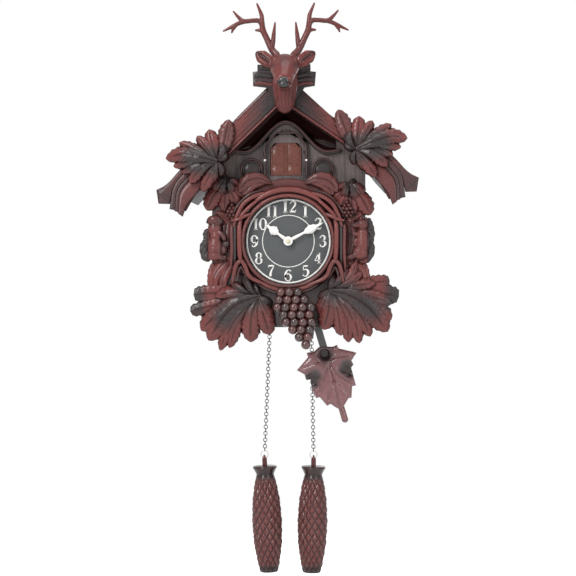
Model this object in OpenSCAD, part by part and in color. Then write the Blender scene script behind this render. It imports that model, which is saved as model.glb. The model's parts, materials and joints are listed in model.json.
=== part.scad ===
// Quartz cuckoo clock with a stag's head, vine leaves, pendulum and two pine-cone weights.
// Millimetres. The origin is the centre of the hanging hole on the wall plane: the wall is
// y = 0, the clock faces -y, +x is to the viewer's right and +z is up.

/* [Case] */
// Width across the two side walls
case_w = 168; // [160:1:176]
// Drop from the hanging hole to the underside of the case
case_drop = 242; // [238:1:256]
// Depth from the wall to the back of the front board
case_d = 60; // [58:0.5:68]
// Thickness of the back board, side walls and floor
wall_t = 4; // [3.5:0.5:5]
// Thickness of the front board
front_t = 6; // [5:0.5:8]
// Width of the front board
front_w = 184; // [180:1:196]

/* [Roof] */
// Height of the underside of the ridge above the hanging hole
ridge_z = 24; // [22:1:30]
// Sideways place of the ridge
ridge_x = -5; // [-8:0.5:0]
// Pitch of the left roof slope in degrees
pitch_left = 44; // [42:0.5:46]
// Pitch of the right roof slope in degrees
pitch_right = 34.5; // [33:0.5:37]
// Thickness of a roof panel, measured upright
roof_t = 8; // [6:0.5:10]
// Overhang of the roof in front of the front board
overhang = 26; // [22:1:32]
// Thickness of a bargeboard
barge_t = 8; // [6:0.5:12]
// Upright width of a bargeboard at the ridge
barge_w = 36; // [32:1:40]

/* [Hanging hole] */
// Radius of the round hole that passes over the wall screw's head
hang_r = 5; // [4:0.25:6]
// Width of the slot above it that grips the screw's shank
hang_slot = 5; // [4:0.25:6]

/* [Dial] */
// Drop from the hanging hole to the centre of the dial
dial_drop = 139; // [136:1:144]
// Radius of the dial plate
dial_r = 51; // [48:0.5:54]
// Thickness of the dial plate
dial_t = 3; // [2:0.5:4]
// Width of the vine ring around the dial
ring_w = 11; // [9:0.5:12]
// Depth of the vine ring
ring_d = 18; // [14:1:22]
// Length of the minute hand
minute_len = 48.5; // [44:0.5:50]
// Length of the hour hand
hour_len = 33; // [28:0.5:36]
// Thickness of the hands
hand_t = 0.6; // [0.5:0.1:0.9]

/* [Cuckoo and doors] */
// Sideways place of the doors
door_x = -3; // [-5:0.5:0]
// Drop from the hanging hole to the foot of the doors
door_drop = 60; // [58:0.5:62]
// Width of one door leaf
door_w = 17.2; // [16:0.2:18]
// Height of the doors
door_h = 38.6; // [37:0.2:40]
// Thickness of a door leaf
door_t = 2.5; // [2:0.25:3]
// How far the bird comes out
bird_travel = 34; // [30:1:36]

/* [Pendulum] */
// Height of the pendulum's pivot above the dial centre
pivot_rise = 11; // [9:0.5:13]
// Distance from the pivot to the boss of the pendulum leaf
boss_len = 154; // [150:1:160]
// Angle at which the pendulum is stored, out to the right
pendulum_tilt = 16.5; // [0:0.5:18]
// Width of the pendulum rod
rod_w = 9; // [6:0.5:10]

/* [Chains and weights] */
// Distance of each chain from the centre line
chain_x = 25.6; // [24:0.2:30]
// Number of links in each chain
links = 37; // [34:1:40]
// Length that one link adds to a chain
link_pitch = 3.95; // [3.9:0.05:4.1]
// Radius of the chain wire
wire_r = 0.45; // [0.4:0.05:0.5]
// Length of a cone weight without its cap
cone_len = 120; // [110:1:130]
// Largest radius of a cone weight
cone_r = 18; // [16:0.5:18.5]
// Outward lean of the left chain, in degrees
lean_left = 2.4; // [0:0.1:3]
// Outward lean of the right chain, in degrees
lean_right = 1; // [0:0.1:3]

/* [Fits] */
// Running clearance on the radius of a shaft or pin
run = 0.06; // [0.03:0.01:0.09]
// Gap around sliding and lift-off pieces
slide_gap = 0.3; // [0.25:0.05:0.4]

/* [Hidden] */

mahogany = [0.48, 0.24, 0.21];
smoke = [0.27, 0.25, 0.25];
ebony = [0.13, 0.12, 0.12];
tiny = 0.01;

// Depth planes
y_in = -wall_t;
y_fb = -case_d;
y_ff = y_fb - front_t;
y_roof = y_ff - overhang;
y_barge = y_roof - barge_t;
y_pend = y_fb + 20;
y_chain = -22;

// Heights
z_floor = -case_drop;
z_dial = -dial_drop;
z_sill = -door_drop;
z_pivot = z_dial + pivot_rise;

// ---------------------------------------------------------------- helpers

// Draws in the x-z plane and gives the drawing thickness t in front of y = back
module plate(back, t) {
    translate([0, back, 0]) rotate([90, 0, 0]) linear_extrude(t) children();
}

// A round pin or bore along y, from y = back towards the viewer
module pin_y(x, z, back, len, r) {
    translate([x, back, z]) rotate([90, 0, 0]) cylinder(h = len, r = r, $fn = 48);
}

// A box given by its lowest and highest corners
module box(lo, hi) {
    translate(lo) cube(hi - lo);
}

// Straight-sided gear with short teeth that leave a free running gap at every angle
module gear_2d(teeth, m) {
    root = teeth * m / 2 - 1.15 * m;
    tip = teeth * m / 2 + 0.75 * m;
    step = 360 / teeth;
    profile = [[-0.29, root], [-0.12, tip], [0.12, tip], [0.29, root]];
    polygon([for (i = [0:teeth - 1]) for (p = profile)
        p[1] * [cos((i + p[0]) * step), sin((i + p[0]) * step)]]);
}

// One pointed lobe of a leaf along +x
module lobe(len, w) {
    polygon([[0, -w * 0.5], [len * 0.42, -w], [len * 0.75, -w * 0.62], [len, 0],
             [len * 0.75, w * 0.62], [len * 0.42, w], [0, w * 0.5]]);
}

// A leaf of pointed lobes, each given as [angle, length, half width]
module leaf(lobes, t) {
    linear_extrude(t) {
        circle(r = 0.2 * max([for (l = lobes) l[1]]), $fn = 32);
        for (l = lobes) rotate(l[0]) lobe(l[1], l[2]);
    }
}

// Places a leaf facing the viewer; side -1 turns it over for the left
module place_leaf(x, y_back, z, side = 1) {
    translate([x, y_back, z]) rotate([90, 0, 0]) mirror([side < 0 ? 1 : 0, 0, 0]) children();
}

// Blended limb through balls given as [point, radius]
module limb(balls, fn = 10) {
    for (i = [0:len(balls) - 2]) hull() {
        translate(balls[i][0]) sphere(r = balls[i][1], $fn = fn);
        translate(balls[i + 1][0]) sphere(r = balls[i + 1][1], $fn = fn);
    }
}

// ---------------------------------------------------------------- roof lines

// Underside of the roof on side s (-1 left, 1 right): ridge, eave, foot of the carved tail
eave_x = case_w / 2 - 6;
tail_foot = [26, -33];
function pitch(s) = s < 0 ? pitch_left : pitch_right;
function eave(s) = [s * eave_x, ridge_z - abs(s * eave_x - ridge_x) * tan(pitch(s))];
function tail(s, p) = eave(s) + [s * p[0], p[1]];
function under(s, x) = lookup(s * x, [[s * ridge_x, ridge_z], [eave_x, eave(s)[1]],
    [eave_x + tail_foot[0], eave(s)[1] + tail_foot[1]]]);

// Outline of a case board of a given half width under the roof
function board_outline(half) = [[-half, z_floor], [-half, under(-1, -half)], eave(-1),
    [ridge_x, ridge_z], eave(1), [half, under(1, half)], [half, z_floor]];

// ---------------------------------------------------------------- case

hatch_w = 66;
hatch_top = z_dial + 26;
hatch_foot = z_floor + 8;
hatch_ledge = 2;
hatch_t = wall_t - 1.5;
switch_x = case_w / 2 - 30;
switch_z = z_dial + 40;
switch_w = 6;
switch_h = 4;
switch_travel = 3;
screw_r = 1.5;
screw_head_r = 3;
screw_head_t = 1.8;
screw_len = 14;
screw_x = case_w / 2 - wall_t / 2;
screw_heights = [z_floor + 30, z_dial + 10, z_dial + 56];

module at_screws() {
    for (s = [-1, 1], z = screw_heights) translate([s * screw_x, 0, z]) children();
}

module screw_hole() {
    pin_y(0, 0, tiny, screw_len + tiny, screw_r);
}

module back_board() {
    color(smoke) difference() {
        plate(0, wall_t) polygon(board_outline(case_w / 2));
        pin_y(0, 0, 1, wall_t + 2, hang_r);
        box([-hang_slot / 2, -wall_t - 1, 0], [hang_slot / 2, 1, hang_r + 5]);
        pin_y(0, hang_r + 5, 1, wall_t + 2, hang_slot / 2);
        box([-hatch_w / 2, -hatch_t - 0.5, hatch_foot], [hatch_w / 2, 1, hatch_top]);
        box([-hatch_w / 2 + hatch_ledge, -wall_t - 1, hatch_foot + hatch_ledge],
            [hatch_w / 2 - hatch_ledge, 1, hatch_top - hatch_ledge]);
        box([switch_x - switch_w / 2 - slide_gap, -wall_t - 1,
             switch_z - switch_h / 2 - switch_travel - slide_gap],
            [switch_x + switch_w / 2 + slide_gap, 1,
             switch_z + switch_h / 2 + switch_travel + slide_gap]);
        at_screws() screw_hole();
        at_screws() pin_y(0, 0, 1, screw_head_t + 1, screw_head_r + slide_gap);
    }
}

// A side wall stands between the boards and is cut to the slope of the roof
module side_wall(s) {
    outer = s * case_w / 2;
    inner = s * (case_w / 2 - wall_t);
    plate(y_in, case_d - wall_t)
        polygon([[inner, z_floor], [outer, z_floor], [outer, under(s, outer)],
                 [inner, under(s, inner)]]);
}

module side_wall_left() {
    color(smoke) difference() {
        side_wall(-1);
        at_screws() screw_hole();
    }
}

speaker_r = 25;
speaker_y = y_fb / 2 - 2;
speaker_z = z_dial - 52;

module side_wall_right() {
    color(smoke) difference() {
        side_wall(1);
        at_screws() screw_hole();
        for (ring = [0:2], i = [0:max(0, ring * 6 - 1)]) {
            a = ring == 0 ? 0 : i * 60 / ring;
            translate([case_w / 2 - wall_t - 1, speaker_y + 6 * ring * cos(a),
                       speaker_z + 6 * ring * sin(a)])
                rotate([0, 90, 0]) cylinder(h = wall_t + 2, r = 1.6, $fn = 24);
        }
    }
}

slot_half = (pivot_rise + case_drop - dial_drop) * tan(18.5) + rod_w;
slot_d = 13;

module floor_board() {
    inner = case_w / 2 - wall_t;
    color(smoke) difference() {
        box([-inner, y_fb, z_floor], [inner, y_in, z_floor + wall_t]);
        box([-slot_half, y_pend - slot_d / 2, z_floor - 1],
            [slot_half, y_pend + slot_d / 2, z_floor + wall_t + 1]);
        for (s = [-1, 1]) translate([s * chain_x, y_chain, z_floor - 1])
            cylinder(h = wall_t + 2, r = hook_shank_r, $fn = 32);
    }
}

door_axis_y = y_ff + door_t / 2 + 0.4;
door_gap = 0.4;
door_cut = 5.5;
leaf_cut = door_cut + 2 * door_gap;
hinge_r = 0.8;
hinge_len = 1.6;
pin_top = 5.6;
hinge_x = door_w + 0.2;
opening_half = hinge_x + door_t / 2 + door_gap;

// Opening for the pair of doors, with the top corners cut off
module door_opening() {
    translate([door_x, z_sill - door_gap]) polygon([
        [-opening_half, 0], [opening_half, 0],
        [opening_half, door_h + 2 * door_gap - door_cut],
        [opening_half - door_cut, door_h + 2 * door_gap],
        [-opening_half + door_cut, door_h + 2 * door_gap],
        [-opening_half, door_h + 2 * door_gap - door_cut]]);
}

module front_board() {
    hinge_top = z_sill + door_h - leaf_cut;
    color(smoke) difference() {
        plate(y_fb, front_t) polygon(board_outline(front_w / 2));
        plate(y_fb + 1, front_t + 2) door_opening();
        pin_y(0, z_dial, y_fb + 1, front_t + 2, bush_r + 0.2);
        for (s = [-1, 1]) translate([door_x + s * hinge_x, door_axis_y, 0]) {
            translate([0, 0, z_sill - hinge_len - 0.6])
                cylinder(h = hinge_len + 1, r = hinge_r + run, $fn = 32);
            translate([0, 0, hinge_top - 1]) cylinder(h = pin_top + 1.6, r = hinge_r + run, $fn = 32);
        }
    }
}

// ---------------------------------------------------------------- roof

module roof_panel(s) {
    line = [[ridge_x, ridge_z], eave(s), tail(s, tail_foot), tail(s, [38, -46])];
    color(smoke) plate(-2, -y_roof - 2)
        polygon(concat(line, [for (i = [len(line) - 1:-1:0]) line[i] + [0, roof_t]]));
}

module roof_panel_left() roof_panel(-1);
module roof_panel_right() roof_panel(1);

// Bargeboard and the carved tail that curls up under the eave, as one moulding
module bargeboard(s) {
    over = s < 0 ? 44.5 : 46;
    shoulder = s < 0 ? 54 : 50;
    peak = [ridge_x, ridge_z + barge_w];
    elbow = peak + [s * shoulder, -shoulder * tan(over)];
    color(mahogany) plate(y_roof, barge_t) polygon([
        [ridge_x, ridge_z], peak, elbow, tail(s, [-4, 26]), tail(s, [44, -8]),
        tail(s, [52, -10]), tail(s, [57, -20]), tail(s, [66, -26]), tail(s, [78, -32]),
        tail(s, [75, -49]), tail(s, [62, -48.5]), tail(s, [61, -56]), tail(s, [52, -58.5]),
        tail(s, [46, -65]), tail(s, [40, -50]), tail(s, [36, -43]), tail(s, tail_foot), eave(s)]);
}

module bargeboard_left() bargeboard(-1);
module bargeboard_right() bargeboard(1);

roof_leaf_t = 15;
roof_lobes = [[105, 51, 11], [76, 39, 10], [51, 39, 9], [26, 51, 9], [4, 62, 11], [-6, 52, 7],
              [-17, 44, 8], [-36, 42, 9], [-61, 39, 9], [-75, 25, 8], [-100, 15, 7], [130, 16, 7]];

module roof_leaf(s, turn) {
    at = tail(s, [3, 0]);
    color(mahogany) place_leaf(at[0], y_barge, at[1], s) rotate(turn) leaf(roof_lobes, roof_leaf_t);
}

module roof_leaf_left() roof_leaf(-1, 0);
module roof_leaf_right() roof_leaf(1, 9);

bracket_t = 8;

module ridge_bracket() {
    c = [ridge_x + 2, ridge_z];
    color(smoke) plate(y_barge, bracket_t) polygon([
        c + [-38, 35], c + [-37, 18], c + [-20, 16], c + [-12, -2], c + [0, -12], c + [12, -2],
        c + [24, 16], c + [36, 18], c + [38.5, 34], c + [31, 44], c + [-32, 44]]);
}

// ---------------------------------------------------------------- stag

y_stag = y_barge - bracket_t;
stag_z = ridge_z + 36;

module stag_head() {
    color(mahogany) translate([0, y_stag, stag_z]) difference() {
        union() {
            hull() {
                translate([-0.7, -17, 0]) sphere(r = 16, $fn = 20);
                translate([-0.7, -40, -20]) sphere(r = 9, $fn = 20);
            }
            hull() {
                translate([-1, -8, -4]) sphere(r = 15, $fn = 20);
                translate([-1.5, 0, -18]) scale([15, 8, 14]) sphere(r = 1, $fn = 20);
                translate([-2.5, 1, -45]) scale([7, 5, 6]) sphere(r = 1, $fn = 16);
            }
            for (s = [-1, 1]) hull() {
                translate([s * 13, -9, 4]) sphere(r = 4.5, $fn = 12);
                translate([s * 24, -8, 13]) scale([7, 3, 5]) sphere(r = 1, $fn = 12);
                translate([s * 34, -7, 20]) sphere(r = 1, $fn = 8);
            }
        }
        box([-40, 0, -70], [40, 30, 40]);
    }
}

// Beam and tines of one antler on side s, each tine a limb of balls
module antler(s) {
    function at(x, y, z) = [-0.8 + s * x, y_stag + y, stag_z + z];
    color(smoke) union() {
        limb([[at(9.5, -8, 12), 4.2], [at(10, -7, 17), 3.6], [at(15.5, -5, 23), 3.2],
              [at(22, -4, 37), 2.9], [at(26.5, -4, 47), 2.8], [at(27.5, -4, 57), 2.4],
              [at(28, -3, 64), 2.1], [at(34, -3, 79), 0.9]], 10);
        limb([[at(17, -5, 27), 2.8], [at(14.5, -6, 42), 2], [at(12, -7, 56), 0.8]], 8);
        limb([[at(27, -4, 46), 2.4], [at(36, -4, 46.5), 0.8]], 8);
        limb([[at(27, -4, 56), 2.4], [at(38, -4, 58), 2.2], [at(50, -4, 57), 2.2],
              [at(62, -3, 70), 0.8]], 8);
        limb([[at(49, -4, 57), 2.2], [at(60, -4, 52), 2], [at(74, -3, 46), 0.8]], 8);
        limb([[at(60, -4, 52), 1.8], [at(63.5, -4, 43.5), 0.7]], 8);
    }
}

module antler_left() antler(-1);
module antler_right() antler(1);

// ---------------------------------------------------------------- gable front

moulding_t = 10;
gable_t = 8;

// Ogee moulding: a cosine bell over the doorway with level ends
module gable_moulding() {
    bell_h = 36;
    bell_half = 50;
    end = 56;
    w = 2.6;
    xs = [for (x = [-end:4:end]) x];
    function bell(x) = abs(x) < bell_half ? bell_h * (1 + cos(180 * x / bell_half)) / 2 : 0;
    foot = z_sill + 28;
    color(mahogany) plate(y_ff, moulding_t) polygon(concat(
        [for (x = xs) [door_x + x, foot + bell(x) - w]],
        [for (i = [len(xs) - 1:-1:0]) [door_x + xs[i], foot + bell(xs[i]) + w]]));
}

// Half outline of the doorway arch, grown outwards by g
function arch_half(g) = [[opening_half + 4.2 + g, -5.5], [opening_half + 4.2 + g, 33 + g * 0.4],
    [opening_half + 0.4 + g * 0.7, 39.5 + g * 0.7], [11.5 + g * 0.4, 49 + g]];

module arch_outline(g) {
    right = arch_half(g);
    translate([door_x, z_sill]) polygon(concat(right,
        [for (i = [len(right) - 1:-1:0]) [-right[i][0], right[i][1]]]));
}

// Deep frame round the doorway with a stud on each jamb
module doorway_frame() {
    color(mahogany) plate(y_ff, gable_t) difference() {
        arch_outline(3);
        arch_outline(0);
    }
    color("white") for (s = [-1, 1])
        pin_y(door_x + s * (opening_half + 5.7), z_sill + 17.5, y_ff - gable_t, 1.2, 1.4);
}

window_gap = 42.5;
window_r = 13.5;

module window_shape(r) {
    circle(r = r, $fn = 48);
    translate([-r, -14]) square([2 * r, 14]);
}

module window_arches() {
    color(smoke) plate(y_ff, gable_t) for (s = [-1, 1])
        translate([door_x + 1.5 + s * window_gap, z_sill + 7]) difference() {
            window_shape(window_r);
            window_shape(window_r - 3);
            translate([-window_r, -15]) square([2 * window_r, 4]);
        }
}

sill_lobes = [[195, 21, 7], [225, 20, 7], [-10, 18, 7], [-45, 15, 7], [160, 16, 6]];

// Drooping leaves under the two windows, trimmed where the shoulder leaves lie
module sill_leaves() {
    color(mahogany) for (s = [-1, 1]) difference() {
        place_leaf(s * 38, y_ff - gable_t, z_dial + 75, -s) leaf(sill_lobes, 6);
        shoulder_blank(s);
    }
}

// ---------------------------------------------------------------- dial and frame

module dial_plate() {
    color(ebony) difference() {
        pin_y(0, z_dial, y_ff, dial_t, dial_r);
        pin_y(0, z_dial, y_ff + 1, dial_t + 2, bush_r + 0.2);
    }
}

frame_gap = 0.5;

// Ring of vine stems round the dial, two upright stems and four bindings
module dial_frame() {
    inner = dial_r + frame_gap;
    mid = inner + ring_w / 2;
    color(mahogany) difference() {
        translate([0, y_ff, z_dial]) rotate([90, 0, 0]) {
            rotate_extrude($fn = 96) polygon([[inner, 0], [inner, 9], [inner + 3, ring_d - 2],
                [mid + 1.5, ring_d], [inner + ring_w - 1, ring_d - 5], [inner + ring_w, 0]]);
            for (s = [-1, 1]) translate([s * (mid + 3), 0, 0]) {
                translate([-6.5, -25, 0]) cube([13, 50, ring_d - 3]);
                for (k = [-1, 1]) translate([-s, k * 25, 0]) rotate(s * k * 40)
                    translate([-9, -5, 0]) cube([18, 10, ring_d + 1]);
            }
        }
        pin_y(0, z_dial, y_ff + 1, ring_d + 3, inner - tiny);
        plate(y_ff + 1, 40) bunch_outline();
    }
}

// ---------------------------------------------------------------- vine leaves, fruit and squirrels

// Room taken by the vine ring and its stems, kept clear by the ornaments around it
module frame_room() {
    mid = dial_r + frame_gap + ring_w / 2;
    plate(y_ff + 1, 40) translate([0, z_dial]) {
        circle(r = dial_r + frame_gap + ring_w, $fn = 96);
        for (s = [-1, 1], k = [-1, 1]) translate([s * (mid + 2), k * 25]) rotate(s * k * 40)
            square([18, 10], center = true);
        square([2 * mid + 19, 50], center = true);
    }
}

// Outline of the room taken by the grapes
module bunch_outline() {
    translate([0, z_floor]) polygon([[-13, 49], [18, 49], [33, 31], [34.5, 2], [28, -18],
        [22, -28], [14, -22], [-8, 4], [-18, 18], [-18, 32]]);
}

shoulder_lobes = [[-52, 41, 12], [-100, 30, 11], [-12, 22, 8], [-140, 20, 9], [75, 12, 8]];

shoulder_t = 16;

module shoulder_blank(s) {
    place_leaf((front_w / 2 - 18) * s, y_ff, z_dial + 65 - 3 * s, s) {
        leaf(shoulder_lobes, shoulder_t);
        children();
    }
}

module shoulder_leaf(s) {
    color(mahogany) difference() {
        shoulder_blank(s) translate([-4, -24, shoulder_t - 1]) {
            cylinder(h = 3, r = 2.4, $fn = 24);
            for (a = [0:60:300]) translate([5.4 * cos(a), 5.4 * sin(a), 0])
                cylinder(h = 3, r = 2.4, $fn = 24);
        }
        frame_room();
    }
}

module shoulder_leaf_left() shoulder_leaf(-1);
module shoulder_leaf_right() shoulder_leaf(1);

// Squirrel seated at the edge of the front board; turn -1 faces the other way
module squirrel(x, z, turn) {
    function at(u, d, h) = [x + turn * u, y_ff - d, z + h];
    color(mahogany) {
        limb([[at(0, 8.6, -12), 8.5], [at(-2, 7, 6), 6.5], [at(-3, 8, 19), 5.6]], 14);
        limb([[at(-3, 8, 20), 5.2], [at(-9.5, 8, 18), 2.4]], 12);
        limb([[at(5, 6, -20), 5], [at(10, 6, -8), 5.6], [at(10, 6, 8), 5.4], [at(8, 6, 22), 3]], 12);
        limb([[at(-4, 9, 0), 2.6], [at(-12, 9, -1), 2.4]], 10);
        limb([[at(-2, 8, -19), 3.2], [at(-12, 8, -20), 2.6]], 10);
    }
}

module squirrel_left() squirrel(-front_w / 2 + 2.5, z_dial - 4, -1);
module squirrel_right() squirrel(front_w / 2 - 4, z_dial - 3, 1);

base_lobes_left = [[62, 20, 8], [47, 33, 10], [24, 50, 10], [0, 79, 13], [-13, 84, 13],
                   [-30, 79, 14], [-42, 87, 14], [-53, 79, 11], [-60, 72, 11], [-80, 56, 13],
                   [-104, 49, 13]];
base_lobes_right = [[72, 22, 9], [54, 34, 9], [44, 44, 8], [28, 46, 10], [10, 70, 11],
                    [-5, 82, 13], [-14, 76, 12], [-24, 80, 13], [-36, 88, 14], [-50, 74, 11],
                    [-62, 72, 11], [-73, 64, 11], [-86, 53, 11], [-102, 49, 13]];
base_leaf_t = 16;

module base_leaf(x, z, s) {
    color(mahogany) difference() {
        place_leaf(x, y_ff, z, s) children();
        frame_room();
        plate(y_ff + 1, 40) bunch_outline();
    }
}

module base_leaf_left() {
    base_leaf(-34, z_floor + 38, -1) leaf(base_lobes_left, base_leaf_t);
}

module base_leaf_right() {
    base_leaf(49, z_floor + 45, 1) leaf(base_lobes_right, base_leaf_t);
}

grape_r = 5.4;
grape_rows = [3, 4, 5, 4, 4, 3, 2, 1];

// Rows of grapes on a backing block; each row sits a little further to the right
module grape_bunch() {
    color(ebony) for (i = [0:len(grape_rows) - 1]) let (n = grape_rows[i])
        for (k = [0:n - 1])
            translate([2 + 2.8 * i + (k - (n - 1) / 2) * 9.6,
                       y_ff - 14 - 5 * sin(180 * (k + 1) / (n + 1)), z_floor + 42 - 8.8 * i])
                sphere(r = grape_r, $fn = 32);
    color(mahogany) plate(y_ff, 14) polygon([[-7, z_floor + 44], [12, z_floor + 44],
        [26, z_floor + 26], [27, z_floor - 8], [21, z_floor - 18], [4, z_floor + 4],
        [-10, z_floor + 24]]);
}

// ---------------------------------------------------------------- quartz movement

mov_half = 28.5;
mov_d = 16;
mov_wall = 1.2;
bay_h = 16;
bush_r = 4;
nut_t = 2.5;
bush_len = front_t + dial_t + nut_t + 0.3;
pipe_r = 2.4;
arbor_r = 1;
motion_c = 13;
t_cannon = 12;
t_minute = 36;
t_pinion = 10;
t_hour = 40;
m_first = 2 * motion_c / (t_cannon + t_minute);
m_second = 2 * motion_c / (t_pinion + t_hour);
gear_t = 1.5;
pivot_in = 0.8;
y_hour = y_fb + mov_wall + 0.3 + gear_t;
y_cannon = y_hour + 0.6 + gear_t;
y_hub = y_ff - dial_t - 4.6;

// Shell with the gear room above and the open cell bay below
module movement_case() {
    color(ebony) difference() {
        union() {
            box([-mov_half, y_fb, z_dial - mov_half], [mov_half, y_fb + mov_d, z_dial + mov_half]);
            pin_y(0, z_dial, y_fb, bush_len, bush_r);
        }
        box([-mov_half + mov_wall, y_fb + mov_wall, z_dial - mov_half + bay_h + mov_wall],
            [mov_half - mov_wall, y_fb + mov_d + 1, z_dial + mov_half - mov_wall]);
        box([-mov_half + mov_wall, y_fb + mov_wall, z_dial - mov_half + mov_wall],
            [mov_half - mov_wall, y_fb + mov_d + 1, z_dial - mov_half + bay_h]);
        pin_y(0, z_dial, y_fb + mov_wall + 1, bush_len + mov_wall + 2, pipe_r + run);
        pin_y(-motion_c, z_dial, y_fb + mov_wall + 1, 1 + pivot_in, arbor_r + run);
    }
}

module movement_cover() {
    color(ebony) difference() {
        box([-mov_half + mov_wall, y_fb + mov_d - 2, z_dial - mov_half + bay_h + mov_wall],
            [mov_half - mov_wall, y_fb + mov_d, z_dial + mov_half - mov_wall]);
        pin_y(-motion_c, z_dial, y_fb + mov_d + 1, 4, arbor_r + 0.6 + run);
    }
}

module stepper_motor() {
    color("silver") difference() {
        box([-8, y_cannon + 1.4, z_dial - 6], [22, y_fb + mov_d - 2, z_dial + 24]);
        pin_y(0, z_dial, y_fb + mov_d, mov_d, arbor_r + run);
    }
}

module clock_battery() {
    cell_r = 7.1;
    y = y_fb + mov_wall + cell_r + 0.2;
    z = z_dial - mov_half + mov_wall + cell_r + 0.2;
    color("goldenrod") translate([-25, y, z]) rotate([0, 90, 0]) {
        cylinder(h = 49, r = cell_r, $fn = 48);
        cylinder(h = 50.5, r = 2.7, $fn = 32);
    }
}

module bushing_nut() {
    color(ebony) difference() {
        pin_y(0, z_dial, y_ff - dial_t, nut_t, 6);
        pin_y(0, z_dial, y_ff, dial_t + 4, bush_r + 0.05);
    }
}

// Minute hand's arbor with the cannon pinion that drives the motion work
module minute_arbor() {
    color("gold") {
        pin_y(0, z_dial, y_cannon + 3.4, y_cannon + 3.4 - y_hub + 3, arbor_r);
        difference() {
            translate([0, 0, z_dial]) plate(y_cannon, gear_t) gear_2d(t_cannon, m_first);
            pin_y(0, z_dial, y_cannon + 1, gear_t + 2, arbor_r - 0.2);
        }
    }
}

module hour_wheel() {
    color("gold") difference() {
        union() {
            translate([0, 0, z_dial]) plate(y_hour, gear_t) rotate(180 / t_hour)
                gear_2d(t_hour, m_second);
            pin_y(0, z_dial, y_hour, y_hour - y_hub, pipe_r);
        }
        pin_y(0, z_dial, y_hour + 1, y_hour - y_hub + 2, arbor_r + run);
    }
}

// Intermediate wheel and pinion; its knob at the back sets the hands
module setting_wheel() {
    x = -motion_c;
    color("gold") {
        translate([x, 0, z_dial]) plate(y_cannon, gear_t) rotate(180 / t_minute)
            gear_2d(t_minute, m_first);
        translate([x, 0, z_dial]) plate(y_hour, gear_t) gear_2d(t_pinion, m_second);
        pin_y(x, z_dial, y_cannon, y_cannon - y_hour, 1.9);
        pin_y(x, z_dial, y_fb + mov_d + 1, y_fb + mov_d + 1 - y_cannon, arbor_r + 0.6);
        pin_y(x, z_dial, y_hour, y_hour - y_fb - mov_wall + pivot_in - 0.1, arbor_r);
    }
    color(ebony) pin_y(x, z_dial, y_fb + mov_d + 4, 3.5, 4.5);
}

// ---------------------------------------------------------------- hands

// A hand lying along +x: a tapered arm with a lozenge towards its tip
module hand_2d(len, w) {
    polygon([[0, -w * 0.35], [len * 0.38, -w * 0.28], [len * 0.52, -w * 0.5], [len * 0.66, -w],
             [len * 0.8, -w * 0.3], [len, 0], [len * 0.8, w * 0.3], [len * 0.66, w],
             [len * 0.52, w * 0.5], [len * 0.38, w * 0.28], [0, w * 0.35]]);
}

minute_angle = 27.7;
hour_angle = 143.8;

module minute_hand() {
    color("white") difference() {
        union() {
            translate([0, 0, z_dial]) plate(y_hub - 1.6, hand_t) rotate(minute_angle)
                hand_2d(minute_len, 3.4);
            pin_y(0, z_dial, y_hub - 0.6, 1.8, 3.6);
            color("wheat") pin_y(0, z_dial, y_hub - 1, 3, 1.8);
        }
        pin_y(0, z_dial, y_hub, 3, arbor_r);
    }
}

module hour_hand() {
    color("white") difference() {
        union() {
            translate([0, 0, z_dial]) plate(y_hub + 0.9, hand_t) rotate(hour_angle)
                hand_2d(hour_len, 3.8);
            pin_y(0, z_dial, y_hub + 1.5, 1.5, 4.2);
        }
        pin_y(0, z_dial, y_hub + 3, 4, pipe_r);
    }
}

// ---------------------------------------------------------------- pendulum

pivot_r = 1.5;
rod_t = 2;

module pendulum_drive() {
    y = y_fb + mov_d;
    color(ebony) {
        box([-11, y, z_pivot + 6], [11, y_pend + 4, z_pivot + 18]);
        box([-5, y, z_pivot - 5], [5, y + 1.4, z_pivot + 6]);
        pin_y(0, z_pivot, y_pend + 2.2, y_pend + 2.2 - y - 0.7, pivot_r);
    }
}

// Everything that swings is drawn hanging straight and then turned about the pivot
module swung() {
    translate([0, 0, z_pivot]) rotate([0, -pendulum_tilt, 0]) children();
}

module pendulum_rod() {
    color(ebony) swung() difference() {
        union() {
            pin_y(0, 0, y_pend + rod_t / 2, rod_t, rod_w / 2 + 1);
            box([-rod_w / 2, y_pend - rod_t / 2, -boss_len + 6], [rod_w / 2, y_pend + rod_t / 2, 0]);
        }
        pin_y(0, 0, y_pend + 2, 4, pivot_r + run);
    }
}

pendulum_lobes = [[46, 21, 9], [10, 38, 11], [-15, 36, 10], [-43, 50, 12],
                  [-57, 58, 11], [-68, 66, 11], [-79, 63, 10], [-89, 60, 10], [-101, 51, 12],
                  [-122, 38, 10], [-133, 38, 9], [-155, 39, 9], [168, 24, 9], [135, 16, 9]];

// Vine leaf with a boss, a socket for the rod and a stalk below
module pendulum_leaf() {
    sleeve = rod_w + 2.8;
    color(mahogany) swung() difference() {
        translate([0, y_pend + 3, -boss_len]) {
            rotate([90, 0, 0]) rotate(-pendulum_tilt) translate([0, -3]) leaf(pendulum_lobes, 6);
            pin_y(0, 0, 0, 12, 8);
            box([-sleeve / 2, -6.8, 0], [sleeve / 2, 0.8, 34]);
            box([-4.2, -5, -86], [4.2, -1, -44]);
        }
        box([-rod_w / 2, y_pend - rod_t / 2, -boss_len + 6], [rod_w / 2, y_pend + rod_t / 2, 0]);
    }
}

// ---------------------------------------------------------------- bird and its drive

rail_foot = z_sill + 2.6;
bar_half = 3;
bar_h = 3.4;
rack_m = 1;
rack_teeth = 16;
rack_r = rack_teeth * rack_m / 2;
rack_z = rail_foot - 1;
pinion_y = y_fb + 10;
pinion_z = rack_z - rack_r;
bar_front = pinion_y - 3;
bar_back = pinion_y + bird_travel + 3.5;

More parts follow.
